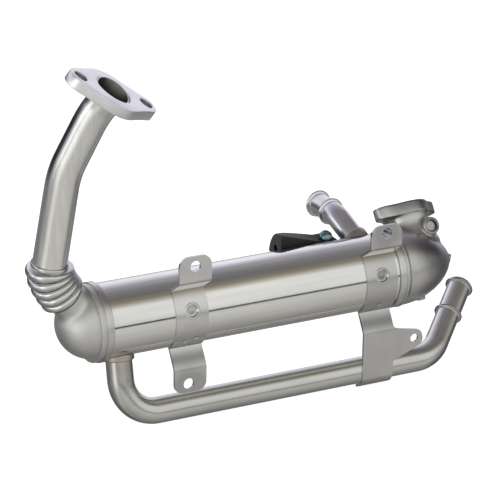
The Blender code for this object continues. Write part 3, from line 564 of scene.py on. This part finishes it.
# Brown heat tint at the lower ring; the light patch around HOSE_MID is a painted highlight on the hose end.
WATER_STEEL = steel("water_pipe_steel", (0.64, 0.635, 0.61, 1.0), (0.17, 0.26), (0.3, 3.0, 3.0), 0.15,
                    [(RING_LOWER, (10.0, 24.0), (BROWN, 0.3)),
                     (HOSE_MID, (34.0, 64.0), ((0.86, 0.86, 0.85, 1.0), 0.45))])
# Darker copy of the water pipe's steel for the hose beads: painted shade.
BEAD_SHADE_STEEL = steel("hose_bead_painted_shade", (0.36, 0.36, 0.35, 1.0), (0.2, 0.28), (1, 1, 1), 0.1)
SPIGOT_STEEL = steel("spigot_steel", (0.84, 0.83, 0.86, 1.0), (0.25, 0.33), (1, 1, 1), 0.1)
RING_STEEL = steel("ring_steel", (0.55, 0.50, 0.45, 1.0), (0.25, 0.4))
# Painted shade: a dark band across the brackets' sloped fold between wrap and leg, which faces down and
# forward.
LEG_SLOPE_SHADE = (-31.5, 9.0, (DARK, 0.72))
# Left bracket: painted shade in the dimple and the two small dents; the leg is also darker toward its lower
# end.
LEFT_SHEET = steel("left_bracket_steel", (0.70, 0.695, 0.685, 1.0), (0.24, 0.30), (1, 1, 1), 0.12,
                   [(dimple_at(62.3, DIMPLE_ANGLE, 1.6), (2.6, 4.6), (DARK, 0.35)),
                    (dimple_at(57.8, -34.0, 0.5), (0.9, 2.2), (DARK, 0.5)),
                    (dimple_at(66.8, -30.0, 0.5), (0.9, 2.2), (DARK, 0.5)),
                    ((62.3, -26.0, -56.0), (13.0, 24.0), ((0.3, 0.3, 0.3, 1.0), 0.62))], LEG_SLOPE_SHADE)
# Right bracket: painted shade in the dimple and the small dent; the tab is also darker around its upper
# hole.
RIGHT_SHEET = steel("right_bracket_steel", (0.60, 0.595, 0.585, 1.0), (0.24, 0.30), (1, 1, 1), 0.12,
                    [(dimple_at(221.7, DIMPLE_ANGLE, 1.6), (2.6, 4.6), (DARK, 0.55)),
                     (dimple_at(221.7, -33.0, 0.5), (1.0, 2.6), (DARK, 0.5)),
                     ((221.7, -34.0, 43.0), (8.0, 15.0), (DARK, 0.28))], LEG_SLOPE_SHADE)
BELLOWS_STEEL = steel("bellows_steel", (0.74, 0.74, 0.73, 1.0), (0.2, 0.3), (1, 1, 1), 0.08)
# Dark copy of the bellows steel for the folds' valleys: painted shade in the creases.
VALLEY_SHADE_STEEL = steel("bellows_valley_painted_shade", (0.26, 0.26, 0.27, 1.0), (0.3, 0.4), (1, 1, 1), 0.08)
PORT_BASE = on_axis(OUT_X) + OUT_DIR * PORT_HEIGHT + on_axis(PORT_SIDE_STEP)
ABOVE_FLANGE = on_axis(OUT_X) + OUT_DIR * (OUT_HEIGHT + 20.0)
RIGHT_EAR = on_axis(OUT_X) + OUT_DIR * (OUT_HEIGHT - 2.0) + OUT_LINE * 24.0
PORT_END = PORT_BASE + PORT_DIR * (PORT_REACH + 1.0)
# Painted shade on the housing: the outlet flange's top face and its right ear are darkened and the port's
# mouth is shaded; the dark purple patch under the neck is a painted dark reflection.
CAST_STEEL = cast("cast_steel_skin", (0.60, 0.595, 0.585, 1.0), (0.27, 0.36),
                  [(ABOVE_FLANGE, (30.0, 37.0), (DARK, 0.72)),
                   (RIGHT_EAR, (8.0, 20.0), (DARK, 0.5)),
                   (PORT_END, (6.0, 10.0), (DARK, 0.3)),
                   ((271.0, -21.0, 14.0), (7.0, 20.0), ((0.17, 0.16, 0.175, 1.0), 0.7))])
ZINC = steel("zinc_screw", (0.22, 0.33, 0.37, 1.0), (0.2, 0.3))
BLACK = plastic("black_moulding", (0.009, 0.009, 0.010, 1.0), 0.46)
# Lighter copy of the black moulding for the clip's end faces: painted light.
BLACK_LIT_END = plastic("black_moulding_painted_lit_end", (0.045, 0.045, 0.05, 1.0), 0.5)


def finish_piece(obj, material, *nodes):
    """Give a piece its material, let it ride on the body and stand for its CAD nodes."""
    obj.data.materials.clear()
    obj.data.materials.append(material)
    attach(obj, "root")
    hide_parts(*nodes)
    return obj


def darken_rings(obj, material, sides, radii, chosen, limit):
    """Second material on a swept skin's chosen rings, where the limit says so of their mean radius."""
    obj.data.materials.append(material)
    for k, polygon in enumerate(obj.data.polygons):
        ring = k // sides
        if ring in chosen:
            polygon.material_index = int(limit((radii[ring] + radii[ring + 1]) / 2))


# ---- body, collars and dome ----

def make_body():
    low = GAP - IN_COLLAR
    high = BODY_LENGTH + OUT_COLLAR - GAP
    r = BODY_R
    profile = [(r, high), (r, low), (r - 1.5, low), (r - 1.5, high)]
    body = lathe("shell", profile, ORIGIN, X_AXIS, 160)
    hole = rod("hole_a", LOWER_R + GAP, on_axis(LOWER_STUB_X), DOWN, 16.0, 40.0)
    body = boolean(body, hole, "DIFFERENCE")
    hole = rod("hole_b", UPPER_R + GAP, UPPER_SEAT, UPPER_DIR, -12.0, 14.0)
    body = boolean(body, hole, "DIFFERENCE")
    finish_piece(body, BODY_STEEL, "body_shell")


def soft_ring(inner, outer, low, high, edge):
    """Ring profile with rounded outer edges."""
    top = arc((outer - edge, high - edge), edge, 90.0, 0.0, 5)
    bottom = arc((outer - edge, low + edge), edge, 0.0, -90.0, 5)
    return top + bottom + [(inner, low), (inner, high)]


def make_collars():
    ring = soft_ring(BODY_R + GAP, COLLAR_R, -IN_COLLAR, 0.0, 0.6)
    finish_piece(lathe("collar_in", ring, ORIGIN, X_AXIS, 128), DRAWN_STEEL, "inlet_collar")
    ring = soft_ring(BODY_R + GAP, COLLAR_R, BODY_LENGTH, BODY_LENGTH + OUT_COLLAR, 0.5)
    finish_piece(lathe("collar_out", ring, ORIGIN, X_AXIS, 128), DRAWN_STEEL, "outlet_collar")


def make_seams():
    """Brazed seams that close the joints between the collars and the two ends."""
    ends = (("seam_in", -IN_COLLAR - GAP / 2, 26.0, 28.95),
            ("seam_out", BODY_LENGTH + OUT_COLLAR + GAP / 2, 26.6, 29.5))
    for name, mid, low, high in ends:
        profile = [(low, mid - 0.9)]
        for angle in range(-80, 81, 20):
            a = math.radians(angle)
            profile.append((high - 0.5 + 0.5 * math.cos(a), mid + 0.9 * math.sin(a)))
        profile.append((low, mid + 0.9))
        seam = lathe(name, profile, ORIGIN, X_AXIS, 128)
        seam.data.materials.append(DRAWN_STEEL)
        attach(seam, "root")


def dome_profile(offset):
    """Half section of the dome and its neck, moved inward by an offset."""
    bowl = DOME_R - offset
    neck = NECK_R - offset
    fillet = 7.0 + offset
    reach = bowl + fillet
    height = math.sqrt(reach ** 2 - (neck + fillet) ** 2)
    touch = math.degrees(math.atan2(height, neck + fillet))
    points = [(neck, NECK_REACH)]
    points += arc((neck + fillet, height), fillet, 180.0, 180.0 + touch, 14)
    points += arc((0.0, 0.0), bowl, touch, -55.0, 40)[1:]
    return points


def make_dome():
    centre = on_axis(-IN_COLLAR - GAP)
    profile = dome_profile(0.0) + dome_profile(1.5)[::-1]
    dome = lathe("dome", profile, centre, NECK_DIR, 128)
    keep = rod("keep", 70.0, (centre.x - 2.0, 0, 0), (-1, 0, 0), 0.0, 90.0)
    dome = boolean(dome, keep, "INTERSECT")
    rim = soft_ring(DOME_R - 0.9, COLLAR_R - 0.8, centre.x - 4.1, centre.x, 0.9)
    rim = lathe("rim", rim, ORIGIN, X_AXIS, 128)
    dome = boolean(dome, rim, "UNION")
    finish_piece(dome, DOME_STEEL, "inlet_dome")


# ---- bellows, gas pipe and its flange ----

def bellows_points():
    """Centre line of the bellows: a function of the length along it, the length and the end."""
    start = on_axis(-IN_COLLAR - GAP) + NECK_DIR * (NECK_REACH + GAP)
    corner = start + NECK_DIR * 21.9
    end = corner + RISE * 12.6
    fine = []
    for k in range(401):
        t = k / 400
        fine.append(start * (1 - t) ** 2 + corner * 2 * t * (1 - t) + end * t ** 2)
    length = [0.0]
    for a, b in zip(fine, fine[1:]):
        length.append(length[-1] + (b - a).length)

    def along(distance):
        for k in range(400):
            if length[k + 1] >= distance:
                share = (distance - length[k]) / (length[k + 1] - length[k])
                return fine[k].lerp(fine[k + 1], min(1.0, share))
        return fine[-1]

    return along, length[-1], end


def make_bellows():
    along, length, end = bellows_points()
    root, crest = 13.8, 17.8
    folds, per_fold = 5, 20
    cuff = 2.0
    points = [along(0.0), along(cuff * 0.5)]
    radii = [root, root]
    for k in range(folds * per_fold + 1):
        phase = max(0.0, 1.0 - (2.0 * (k % per_fold) / per_fold - 1.0) ** 2)
        points.append(along(cuff + (length - 2 * cuff) * k / (folds * per_fold)))
        radii.append(root + (crest - root) * phase ** 0.5)
    points += [along(length - cuff * 0.5), along(length)]
    radii += [root, root]
    skin = finish_piece(sweep("bellows_skin", points, radii, 0.6, 96, 60.0), BELLOWS_STEEL, "bellows")
    # The valleys' rings take the dark copy: painted shade in the folds.
    valley = root + 0.45 * (crest - root)
    darken_rings(skin, VALLEY_SHADE_STEEL, 96, radii, range(3, len(radii) - 4), lambda mean: mean < valley)


def gas_corners():
    """Corners of the gas pipe's centre line, from inside the bellows to the flange's top."""
    end_of_bellows = bellows_points()[2]
    start = end_of_bellows - RISE * 1.7
    first = end_of_bellows + RISE * 70.3
    second = first + LEAN * 50.7
    return [start, first, second, second + TOP * 24.8]


def make_gas_pipe():
    corners = gas_corners()
    points = route(corners, [80.0, 90.0])
    points[-1] -= TOP * 1.0
    low, high = points[0].z, points[-1].z
    radii = [12.7 - 0.5 * (p.z - low) / (high - low) for p in points]
    radii = [r + 1.7 * max(0.0, 1.0 - (p - points[-1]).length / 6.0) for r, p in zip(radii, points)]
    finish_piece(sweep("gas_pipe", points, radii, 1.2, 96), PIPE_STEEL, "gas_inlet_pipe")


def make_gas_flange():
    centre = gas_corners()[-1] - FLANGE_N * (GAS_FLANGE_THICK / 2)
    outline = eared(24.0, 11.0, 60.5 / 2 - 2.5, 150.0)
    bore = arc((0, 0), 14.2, 0.0, 356.25, 95)
    holes = [arc((side * GAS_BOLT_X, 0), 5.2, 0.0, 352.5, 47) for side in (-1, 1)]
    flange = plate("gas_flange", [outline, bore] + holes, GAS_FLANGE_THICK, centre, FLANGE_N, FLANGE_T, 0.6)
    shade = [(centre + FLANGE_T * side * GAS_BOLT_X, (6.0, 6.9), (DARK, 0.5)) for side in (-1, 1)]
    metal = steel("flange_steel", (0.97, 0.97, 1.0, 1.0), (0.32, 0.42), (1, 1, 1), 0.35, shade)
    finish_piece(flange, metal, "gas_inlet_flange")


# ---- cast outlet housing ----

def housing_points(radius, length, start_x, count):
    """Half section of the housing's blunt dome, from its tip to its wide end."""
    out = []
    for k in range(count + 1):
        a = math.radians(90.0 * k / count)
        out.append((radius * math.sin(a) ** 1.24, start_x + length * math.cos(a)))
    return out


def cast_skin(obj):
    """Melt the joined lumps into one skin with the soft fillets of a casting."""
    name = obj.name
    melt = obj.modifiers.new("melt", "REMESH")
    melt.mode = "VOXEL"
    melt.voxel_size = 0.7 * MM
    melt.use_smooth_shade = True
    soft = obj.modifiers.new("soft", "SMOOTH")
    soft.factor = 0.5
    soft.iterations = 7
    obj.name = name + "_lumps"
    return to_mesh_object(obj, name)


def make_housing():
    lip_x = BODY_LENGTH + OUT_COLLAR + GAP
    dome_x = lip_x + 2.8 + 1.5
    outer = housing_points(29.4, 48.5, dome_x, 40)
    outer += [(28.9, dome_x - 0.5), (28.9, dome_x - 1.0), (30.0, lip_x + 2.6), (30.3, lip_x + 2.2),
              (30.3, lip_x + 0.5), (29.8, lip_x), (0.0, lip_x)]
    housing = solid_of("housing", outer, ORIGIN, X_AXIS, 96)
    base = on_axis(OUT_X)
    low = OUT_HEIGHT - OUT_THICK
    neck = [(0.0, low + 2.0), (18.0, low + 2.0), (17.2, low - 1.5), (16.5, low - 5.0), (16.6, 28.0),
            (16.9, 26.0), (17.6, 23.0), (18.6, 19.7), (19.8, 16.5), (20.6, 13.5), (20.4, 9.0),
            (17.0, 3.0), (0.0, 3.0)]
    slab_at = base + OUT_DIR * (OUT_HEIGHT - OUT_THICK / 2)
    slab = plate("slab", [eared(18.5, 8.5, OUT_BOLT_X, 40.0)], OUT_THICK, slab_at, OUT_DIR, OUT_LINE, 0.8)
    rim = PORT_REACH
    port = [(0.0, rim), (6.1, rim), (6.75, rim - 0.4), (7.0, rim - 1.2), (7.0, 4.0), (0.0, 4.0)]
    for lump in (solid_of("neck", neck, base, OUT_DIR, 96), slab,
                 solid_of("port", port, PORT_BASE, PORT_DIR, 64),
                 rod("end_lug", 3.2, (294.3 - 4.0, -5.9, 3.3), (0.8, -0.6, -0.1), -6.0, 4.6, 32),
                 rod("low_lug", 3.6, (267.3, -8.4, -21.0), (0.1, -0.3, -0.95), -6.0, 5.8, 32)):
        housing = boolean(housing, lump, "UNION")
    housing = cast_skin(housing)
    cavity = housing_points(25.4, 44.5, dome_x, 24) + [(25.4, lip_x - 5.0), (0.0, lip_x - 5.0)]
    cuts = [solid_of("cavity", cavity, ORIGIN, X_AXIS, 64),
            rod("bore", 12.5, base, OUT_DIR, 5.0, OUT_HEIGHT + 5.0)]
    line = axes_on(OUT_DIR, OUT_LINE)[0]
    for side in (-1, 1):
        cuts.append(rod("bolt_hole", 3.4, base + line * side * OUT_BOLT_X, OUT_DIR,
                        OUT_HEIGHT - 16.0, OUT_HEIGHT + 5.0, 48))
    recess = [(0.0, rim + 5.0), (5.6, rim + 5.0), (5.6, rim + 0.2), (4.9, rim - 0.4), (4.9, rim - 5.5),
              (3.8, rim - 5.5), (3.8, rim - 2.9), (3.5, rim - 2.6), (0.0, rim - 2.6)]
    cuts.append(solid_of("port_recess", recess, PORT_BASE, PORT_DIR, 64))
    for cut in cuts:
        housing = boolean(housing, cut, "DIFFERENCE")
    finish_piece(housing, CAST_STEEL, "outlet_housing")


# ---- coolant pipes and their rings ----

def bead(radius, length=3.4, swell=1.9):
    """(distance along, radius) pairs of one hose bead."""
    out = []
    for k in range(13):
        t = k / 12
        out.append((length * t, radius + swell * math.sin(math.pi * t) ** 0.8))
    return out


def spigot(points, radii, radius, direction, spacing):
    """End a pipe's points and radii with two beads."""
    end = points.pop()
    radii.pop()
    for back in (spacing + 3.2, 3.2):
        for along, ring in bead(radius):
            points.append(end - direction * (back + 1.7 - along))
            radii.append(ring)
    points.append(end)
    radii.append(radius)


def make_lower_pipe():
    start = on_axis(LOWER_STUB_X) + DOWN * 24.0
    end = LOWER_CORNERS[1] + LOWER_DIR * 75.4
    points = route([start, *LOWER_CORNERS, end], [27.5, 32.0])
    total = len(points)
    radii = []
    for k in range(total):
        share = max(0.0, min(1.0, (k - (total - 14)) / 12))
        radii.append(LOWER_R - 0.7 * share)
    spigot(points, radii, LOWER_SPIGOT_R, LOWER_DIR, 28.5)
    skin = sweep("lower_pipe", points, radii, WATER_WALL, WATER_SIDES)
    pipe = finish_piece(skin, WATER_STEEL, "lower_coolant_pipe")
    # The beads' raised rings take the darker copy: painted shade on the beads.
    chosen = range(len(radii) // 2 + 1, len(radii) - 1)
    darken_rings(pipe, BEAD_SHADE_STEEL, WATER_SIDES, radii, chosen, lambda mean: mean > LOWER_SPIGOT_R + 0.6)


def make_upper_pipe():
    corner = UPPER_SEAT + UPPER_DIR * 24.0
    end = corner + UPPER_END_DIR * 31.0
    points = route([UPPER_SEAT - UPPER_DIR * 9.0, corner, end], [17.0])
    radii = [UPPER_R] * len(points)
    spigot(points, radii, UPPER_R, UPPER_END_DIR, 19.5)
    pipe = sweep("upper_pipe", points, radii, WATER_WALL, WATER_SIDES)
    pipe = boolean(pipe, body_rod("trim", BODY_R - 3.8, 96), "DIFFERENCE")
    finish_piece(pipe, SPIGOT_STEEL, "upper_coolant_pipe")


def ring_on(name, pipe_r, seat, direction, low, height, node):
    """Weld ring around a pipe, shaped to the body where it sits."""
    inner = pipe_r + GAP
    outer = inner + 1.5
    profile = [(inner, height - 0.3), (inner + 0.3, height), (outer - 0.7, height),
               (outer - 0.2, height - 0.4), (outer, height - 0.9), (outer, low), (inner, low)]
    ring = lathe(name, profile, seat, direction, WATER_SIDES)
    finish_piece(boolean(ring, body_rod("saddle", BODY_R + GAP), "DIFFERENCE"), RING_STEEL, node)


# ---- brackets ----

def wrap(radius, count=48):
    """Section of the strip that hugs the body's front, from top to bottom."""
    out = []
    for k in range(count + 1):
        a = math.radians(49.0 - 103.0 * k / count)
        out.append(Vector((0.0, -radius * math.cos(a), radius * math.sin(a))))
    return out


def bracket(name, node, section, left, width, outline, holes, dimples, dents):
    """Strip bent along a section and trimmed to an outline, with holes, dimples and small dents."""
    verts = []
    for p in section:
        verts.append((left, p.y, p.z))
        verts.append((left + width, p.y, p.z))
    faces = [(2 * k, 2 * k + 1, 2 * k + 3, 2 * k + 2) for k in range(len(section) - 1)]
    strip = put_mesh(name, verts, faces, 50.0)
    wall = strip.modifiers.new("wall", "SOLIDIFY")
    wall.thickness = SHEET * MM
    wall.offset = 0.0
    wall.use_even_offset = True
    strip.name = name + "_strip"
    strip = to_mesh_object(strip, name)
    trim = plate("trim", [outline], 120.0, ORIGIN, (0, -1, 0), X_AXIS, 0.01)
    strip = boolean(strip, trim, "INTERSECT")
    for x, z, diameter in holes:
        hole = rod("hole", diameter / 2, (x, 0, z), (0, -1, 0), 15.0, 60.0, 48)
        strip = boolean(strip, hole, "DIFFERENCE")
    face = BODY_R + GAP + SHEET
    for x, angle, diameter, depth in dimples:
        out = outward(angle)
        r = diameter / 2
        ring = [(r + 1.1, face - 0.6), (r + 1.1, face - 0.05), (r + 0.7, face + 0.3),
                (r + 0.2, face + 0.4), (r - 0.4, face + 0.3), (r - 0.7, face - 0.2),
                (r - 0.7, face - 0.6)]
        strip = boolean(strip, lathe("ring", ring, (x, 0, 0), out, 48), "UNION")
        profile = [(0.0, face + 3.0), (r - 0.2, face + 3.0), (r - 0.3, face + 0.2),
                   (r - 0.7, face - 0.3), (r - 1.3, face - depth * 0.9), (r - 1.9, face - depth),
                   (1.9, face - depth), (1.2, face - depth * 0.8), (0.0, face - depth * 0.75)]
        strip = boolean(strip, solid_of("dimple", profile[::-1], (x, 0, 0), out, 48), "DIFFERENCE")
    for x, angle, diameter, depth in dents:
        out = outward(angle)
        r = diameter / 2
        profile = [(0.0, face + 3.0), (r + 0.4, face + 3.0), (r, face - 0.05),
                   (r * 0.7, face - depth * 0.8), (r * 0.3, face - depth), (0.0, face - depth)]
        strip = boolean(strip, solid_of("dent", profile[::-1], (x, 0, 0), out, 32), "DIFFERENCE")
    soften_edges(strip, 0.45, 50.0).harden_normals = True
    finish_piece(strip, LEFT_SHEET if node == "left_bracket" else RIGHT_SHEET, node)
    strip.visible_glossy = False


def section_of(pipe_side):
    """Middle line of a bracket: tab, wrap and leg, and on the pipe's side its cradle."""
    middle = BODY_R + GAP + SHEET / 2
    tab_y = -34.0 + SHEET / 2
    hug = wrap(middle)
    points = route([Vector((0, tab_y, 52.8)), Vector((0, tab_y, 31.5)), hug[0]], [3.0], 6.0)
    points += hug[1:]
    if not pipe_side:
        leg_y = -27.0 + SHEET / 2
        corners = [points.pop(), Vector((0, leg_y, LEG_BEND_Z)), Vector((0, leg_y, LEFT_LEG_END_Z))]
        return points + route(corners, [7.0], 6.0)
    pipe = DOWN * LOWER_DROP
    cradle = LOWER_R + GAP + SHEET / 2
    leg_y = pipe.y - cradle
    corners = [points.pop(), Vector((0, leg_y, LEG_BEND_Z)), Vector((0, leg_y, pipe.z + 2.0))]
    points += route(corners, [5.0], 6.0)[:-1]
    for k in range(23):
        a = math.radians(14.0 + 68.0 * k / 22)
        points.append(Vector((0.0, pipe.y - cradle * math.cos(a), pipe.z - cradle * math.sin(a))))
    return points


def make_brackets():
    width = BRACKET_WIDTH
    left, top, bottom = LEFT_BRACKET_X, 51.8, LEFT_LEG_END_Z
    right = left + width
    mid = left + width / 2
    outline = outline_of([((left, top), 8.0), ((left, bottom), 7.0), ((right, bottom), 7.0),
                          ((right, top), 8.0)])
    bracket("bracket_a", "left_bracket", section_of(False), left - 1.0, width + 2.0, outline,
            [(mid, 43.8, 8.4), (mid - 1.4, -50.3, 8.4)], [(mid, DIMPLE_ANGLE, 10.5, 1.5)],
            [(mid - 4.5, -34.0, 3.6, 0.8), (mid + 4.5, -30.0, 3.6, 0.8)])
    left, top = RIGHT_BRACKET_X, 49.6
    right = left + width
    mid = left + width / 2
    ear_x = right + 18.0
    ear_z = -49.0
    bottom = (DOWN * LOWER_DROP).z - LOWER_R - 6.0
    outline = outline_of([((left, top), 8.0), ((left, bottom), 0.0), ((right, bottom), 0.0),
                          ((right, -64.5), 2.0), ((ear_x + 8.5, ear_z - 5.0), 6.0),
                          ((ear_x + 6.0, ear_z + 6.0), 6.0), ((right, LEG_BEND_Z), 4.0),
                          ((right, top), 8.0)])
    bracket("bracket_b", "right_bracket", section_of(True), left - 1.0, width + 34.0, outline,
            [(mid, 43.0, 8.4), (ear_x, ear_z, 6.6)], [(mid, DIMPLE_ANGLE, 10.5, 1.5)],
            [(mid, -33.0, 4.5, 0.8)])


# ---- clip and screw ----

def make_clip():
    x0, y0, top, base = 159.0, 14.3, 34.9, 17.0
    foot, end, depth = 24.6, 159.0 + 48.0, 19.4
    side = [(x0, base), (end, base), (end, foot), (end - 12.0, foot), (x0 + 1.0, top), (x0, top)]
    clip = plate("clip", [side], depth, (0, y0 + depth / 2, 0), (0, -1, 0), X_AXIS, 0.02)
    slope = []
    for k in range(12):
        t = math.radians(7.5 * k)
        slope.append((y0 + 5.5 + 13.9 * math.sin(t), base + (top - base) * math.cos(t) ** 1.3))
    slope += [(y0 + 19.5, base - 2.0), (y0 + 24.0, base - 2.0), (y0 + 24.0, top + 3.0),
              (y0 + 3.5, top + 3.0), (y0 + 3.5, top + 0.1)]
    for cut in (plate("slope", [slope], 120.0, (x0 + 20.0, 0, 0), X_AXIS, (0, 1, 0), 0.02),
                rod("channel", 2.6, (x0, y0 + 9.0, base + 5.5), X_AXIS, -5.0, 24.0),
                rod("screw_hole", 2.8, SCREW_SPOT, (0, 0, 1), 14.0, 28.0),
                body_rod("saddle", BODY_R + GAP)):
        clip = boolean(clip, cut, "DIFFERENCE")
    soften_edges(clip, 0.35, 40.0)
    finish_piece(clip, BLACK, "clip_bracket")
    # The clip's faces pointing along -X take the lighter copy: painted light on its end.
    clip.data.materials.append(BLACK_LIT_END)
    for polygon in clip.data.polygons:
        polygon.material_index = int(polygon.normal.x < -0.95)


def make_screw():
    base = 24.9
    top = base + 5.7
    profile = [(0.0, top - 2.2), (1.7, top - 2.2), (2.0, top - 0.2)]
    for k in range(17):
        a = math.radians(26.0 + 64.0 * k / 16)
        profile.append((5.5 * math.sin(a), base + 0.6 + 5.4 * math.cos(a)))
    profile += [(5.5, base + 0.3), (5.2, base), (2.5, base), (2.5, 22.4), (0.0, 22.4)]
    finish_piece(solid_of("screw", profile, SCREW_SPOT, (0, 0, 1), 64), ZINC, "clip_screw")


# ---- stage ----

# Where the photograph was taken from: angles around and above the part, roll, aim and distance.
EYE_A = math.radians(28.36)
EYE_E = math.radians(21.49)
EYE_ROLL = math.radians(0.7766)
TARGET = row((127.0, 0.0, 0.0))
DISTANCE = 2.4535
FLOOR_Z = -85.5


def make_camera():
    away = Vector((math.sin(EYE_A), math.cos(EYE_A), 0.0))
    toward = Vector((0.0, 0.0, math.sin(EYE_E))) - away * math.cos(EYE_E)
    right = Vector((math.cos(EYE_A), -math.sin(EYE_A), 0.0))
    up = Vector((0.0, 0.0, math.cos(EYE_E))) + away * math.sin(EYE_E)
    rolled = right * math.cos(EYE_ROLL) + up * math.sin(EYE_ROLL)
    up = up * math.cos(EYE_ROLL) - right * math.sin(EYE_ROLL)
    data = bpy.data.cameras.new("photo_camera")
    data.lens = 238.05
    data.sensor_width = 36.0
    data.shift_x = -0.00417
    data.shift_y = 0.0863
    camera = bpy.data.objects.new("photo_camera", data)
    bpy.context.scene.collection.objects.link(camera)
    matrix = Matrix((rolled, up, toward)).transposed().to_4x4()
    matrix.translation = TARGET + toward * DISTANCE
    camera.matrix_world = matrix
    bpy.context.scene.camera = camera


# Bands of the studio, by angle about the body's axis: -180 and 180 are behind, -90 is below and
# 0 is in front.
BANDS = [(-180, (0.50, 0.51, 0.54)), (-150, (0.28, 0.28, 0.28)), (-105, (0.20, 0.20, 0.19)),
         (-75, (0.34, 0.33, 0.32)), (-40, (0.56, 0.55, 0.53)), (-12, (0.68, 0.67, 0.65)),
         (-9, (0.60, 0.60, 0.58)), (-8, (0.02, 0.03, 0.03)), (-4, (0.02, 0.03, 0.03)),
         (-3, (0.74, 0.77, 0.78)), (10, (0.86, 0.87, 0.85)), (46, (0.90, 0.90, 0.88)),
         (56, (0.52, 0.50, 0.43)), (66, (0.29, 0.26, 0.21)), (80, (0.18, 0.17, 0.17)),
         (104, (0.24, 0.23, 0.25)), (128, (0.42, 0.41, 0.47)), (154, (0.98, 0.98, 1.10)),
         (172, (0.95, 0.95, 1.02)), (180, (0.60, 0.60, 0.62))]

# Side walls of the studio by heading: 0 is +X and 90 is behind. LEFT counts near the horizon only.
LEFT = [(0, 1.0), (80, 1.0), (92, 0.03), (130, 0.03), (143, 0.4), (154, 1.0), (166, 2.5), (203, 2.7),
        (220, 1.0), (360, 1.0)]
RIGHT = [(0, 0.4), (18, 0.4), (29, 0.85), (36, 1.0), (318, 1.0), (345, 0.5), (360, 0.4)]


def ramp_of(tree, value, stops):
    """Colour from a value by (position, colour) stops."""
    node = tree.nodes.new("ShaderNodeValToRGB")
    elements = node.color_ramp.elements
    elements.remove(elements[-1])
    elements[0].position = stops[0][0]
    elements[0].color = (*stops[0][1], 1.0)
    for position, color in stops[1:]:
        elements.new(position).color = (*color, 1.0)
    tree.links.new(value, node.inputs["Fac"])
    return node.outputs["Color"]


def weighted(tree, factor, weight):
    """1 where the weight is 0, and the factor where it is 1."""
    less = math_of(tree, "SUBTRACT", factor, 1.0)
    return math_of(tree, "ADD", math_of(tree, "MULTIPLY", less, weight), 1.0)


def make_world():
    world = bpy.data.worlds.new("studio")
    world.use_nodes = True
    bpy.context.scene.world = world
    tree = world.node_tree
    background = tree.nodes["Background"]
    coords = tree.nodes.new("ShaderNodeTexCoord")
    x, y, z = split_of(tree, coords.outputs["Generated"])
    tilt = math_of(tree, "ARCTAN2", z, math_of(tree, "MULTIPLY", y, -1.0))
    tilt = mapped(tree, tilt, -math.pi, math.pi)
    bands = ramp_of(tree, tilt, [((a + 180.0) / 360.0, c) for a, c in BANDS])
    heading = mapped(tree, math_of(tree, "ARCTAN2", y, x), -math.pi, math.pi)
    heading = math_of(tree, "FRACT", math_of(tree, "ADD", heading, 0.5))
    left = ramp_of(tree, heading, [(a / 360.0, (v / 4, v / 4, v / 4)) for a, v in LEFT])
    left = math_of(tree, "MULTIPLY", left, 4.0)
    above = mapped(tree, z, -0.27, -0.1, 0.35, 1.0)
    level = math_of(tree, "MULTIPLY", above, mapped(tree, z, 0.26, 0.15))
    left = weighted(tree, left, level)
    right = ramp_of(tree, heading, [(a / 360.0, (v, v, v)) for a, v in RIGHT])
    right = weighted(tree, right, mapped(tree, math_of(tree, "ABSOLUTE", z), 0.85, 0.65))
    tree.links.new(bands, background.inputs["Color"])
    tree.links.new(math_of(tree, "MULTIPLY", left, right), background.inputs["Strength"])
    white = tree.nodes.new("ShaderNodeBackground")
    white.inputs["Color"].default_value = (1.0, 1.0, 1.0, 1.0)
    path = tree.nodes.new("ShaderNodeLightPath")
    mix = tree.nodes.new("ShaderNodeMixShader")
    tree.links.new(path.outputs["Is Camera Ray"], mix.inputs["Fac"])
    tree.links.new(background.outputs["Background"], mix.inputs[1])
    tree.links.new(white.outputs["Background"], mix.inputs[2])
    tree.links.new(mix.outputs["Shader"], tree.nodes["World Output"].inputs["Surface"])


def make_floor():
    corners = [(-2000, -2000), (2200, -2000), (2200, 2200), (-2000, 2200)]
    floor = put_mesh("floor", [(x, y, FLOOR_Z) for x, y in corners], [(0, 1, 2, 3)])
    material, tree, shader = new_material("floor_white")
    shader.inputs["Base Color"].default_value = (1.0, 1.0, 1.0, 1.0)
    shader.inputs["Roughness"].default_value = 1.0
    shader.inputs["Specular IOR Level"].default_value = 0.0
    shader.inputs["Emission Color"].default_value = (1.0, 1.0, 1.0, 1.0)
    shader.inputs["Emission Strength"].default_value = 0.72
    floor.data.materials.append(material)
    floor.visible_glossy = False


def add_area(name, location, target, size, power):
    """Soft lamp that lights the part but shows in no reflection."""
    data = bpy.data.lights.new(name, "AREA")
    data.shape = "RECTANGLE"
    data.size, data.size_y = size
    data.energy = power
    light = bpy.data.objects.new(name, data)
    bpy.context.scene.collection.objects.link(light)
    direction = Vector(target) - Vector(location)
    matrix = direction.to_track_quat("-Z", "Y").to_matrix().to_4x4()
    matrix.translation = Vector(location)
    light.matrix_world = matrix
    light.visible_glossy = False


def make_lights():
    add_area("key", (-0.5, -0.8, 1.1), (0.05, 0.03, 0.0), (0.5, 0.35), 4.0)
    add_area("fill", (0.9, -0.5, 0.7), (0.1, 0.03, 0.0), (0.5, 0.5), 1.5)


def main():
    make_body()
    make_collars()
    make_seams()
    make_dome()
    make_bellows()
    make_gas_pipe()
    make_gas_flange()
    make_housing()
    make_lower_pipe()
    make_upper_pipe()
    seat = on_axis(LOWER_STUB_X) + DOWN * BODY_R
    ring_on("ring_lower", LOWER_R, seat, DOWN, -6.0, 2.8, "lower_pipe_ring")
    ring_on("ring_upper", UPPER_R, UPPER_SEAT, UPPER_DIR, -11.0, 1.6, "upper_pipe_ring")
    make_brackets()
    make_clip()
    make_screw()
    for name, node in NODES.items():
        if name.startswith(("gas_tube", "baffle", "inlet_tube", "outlet_tube")):
            node.data.materials.clear()
            node.data.materials.append(DRAWN_STEEL)
    make_camera()
    make_world()
    make_floor()
    make_lights()
    bpy.context.scene.view_settings.view_transform = "Standard"


main()
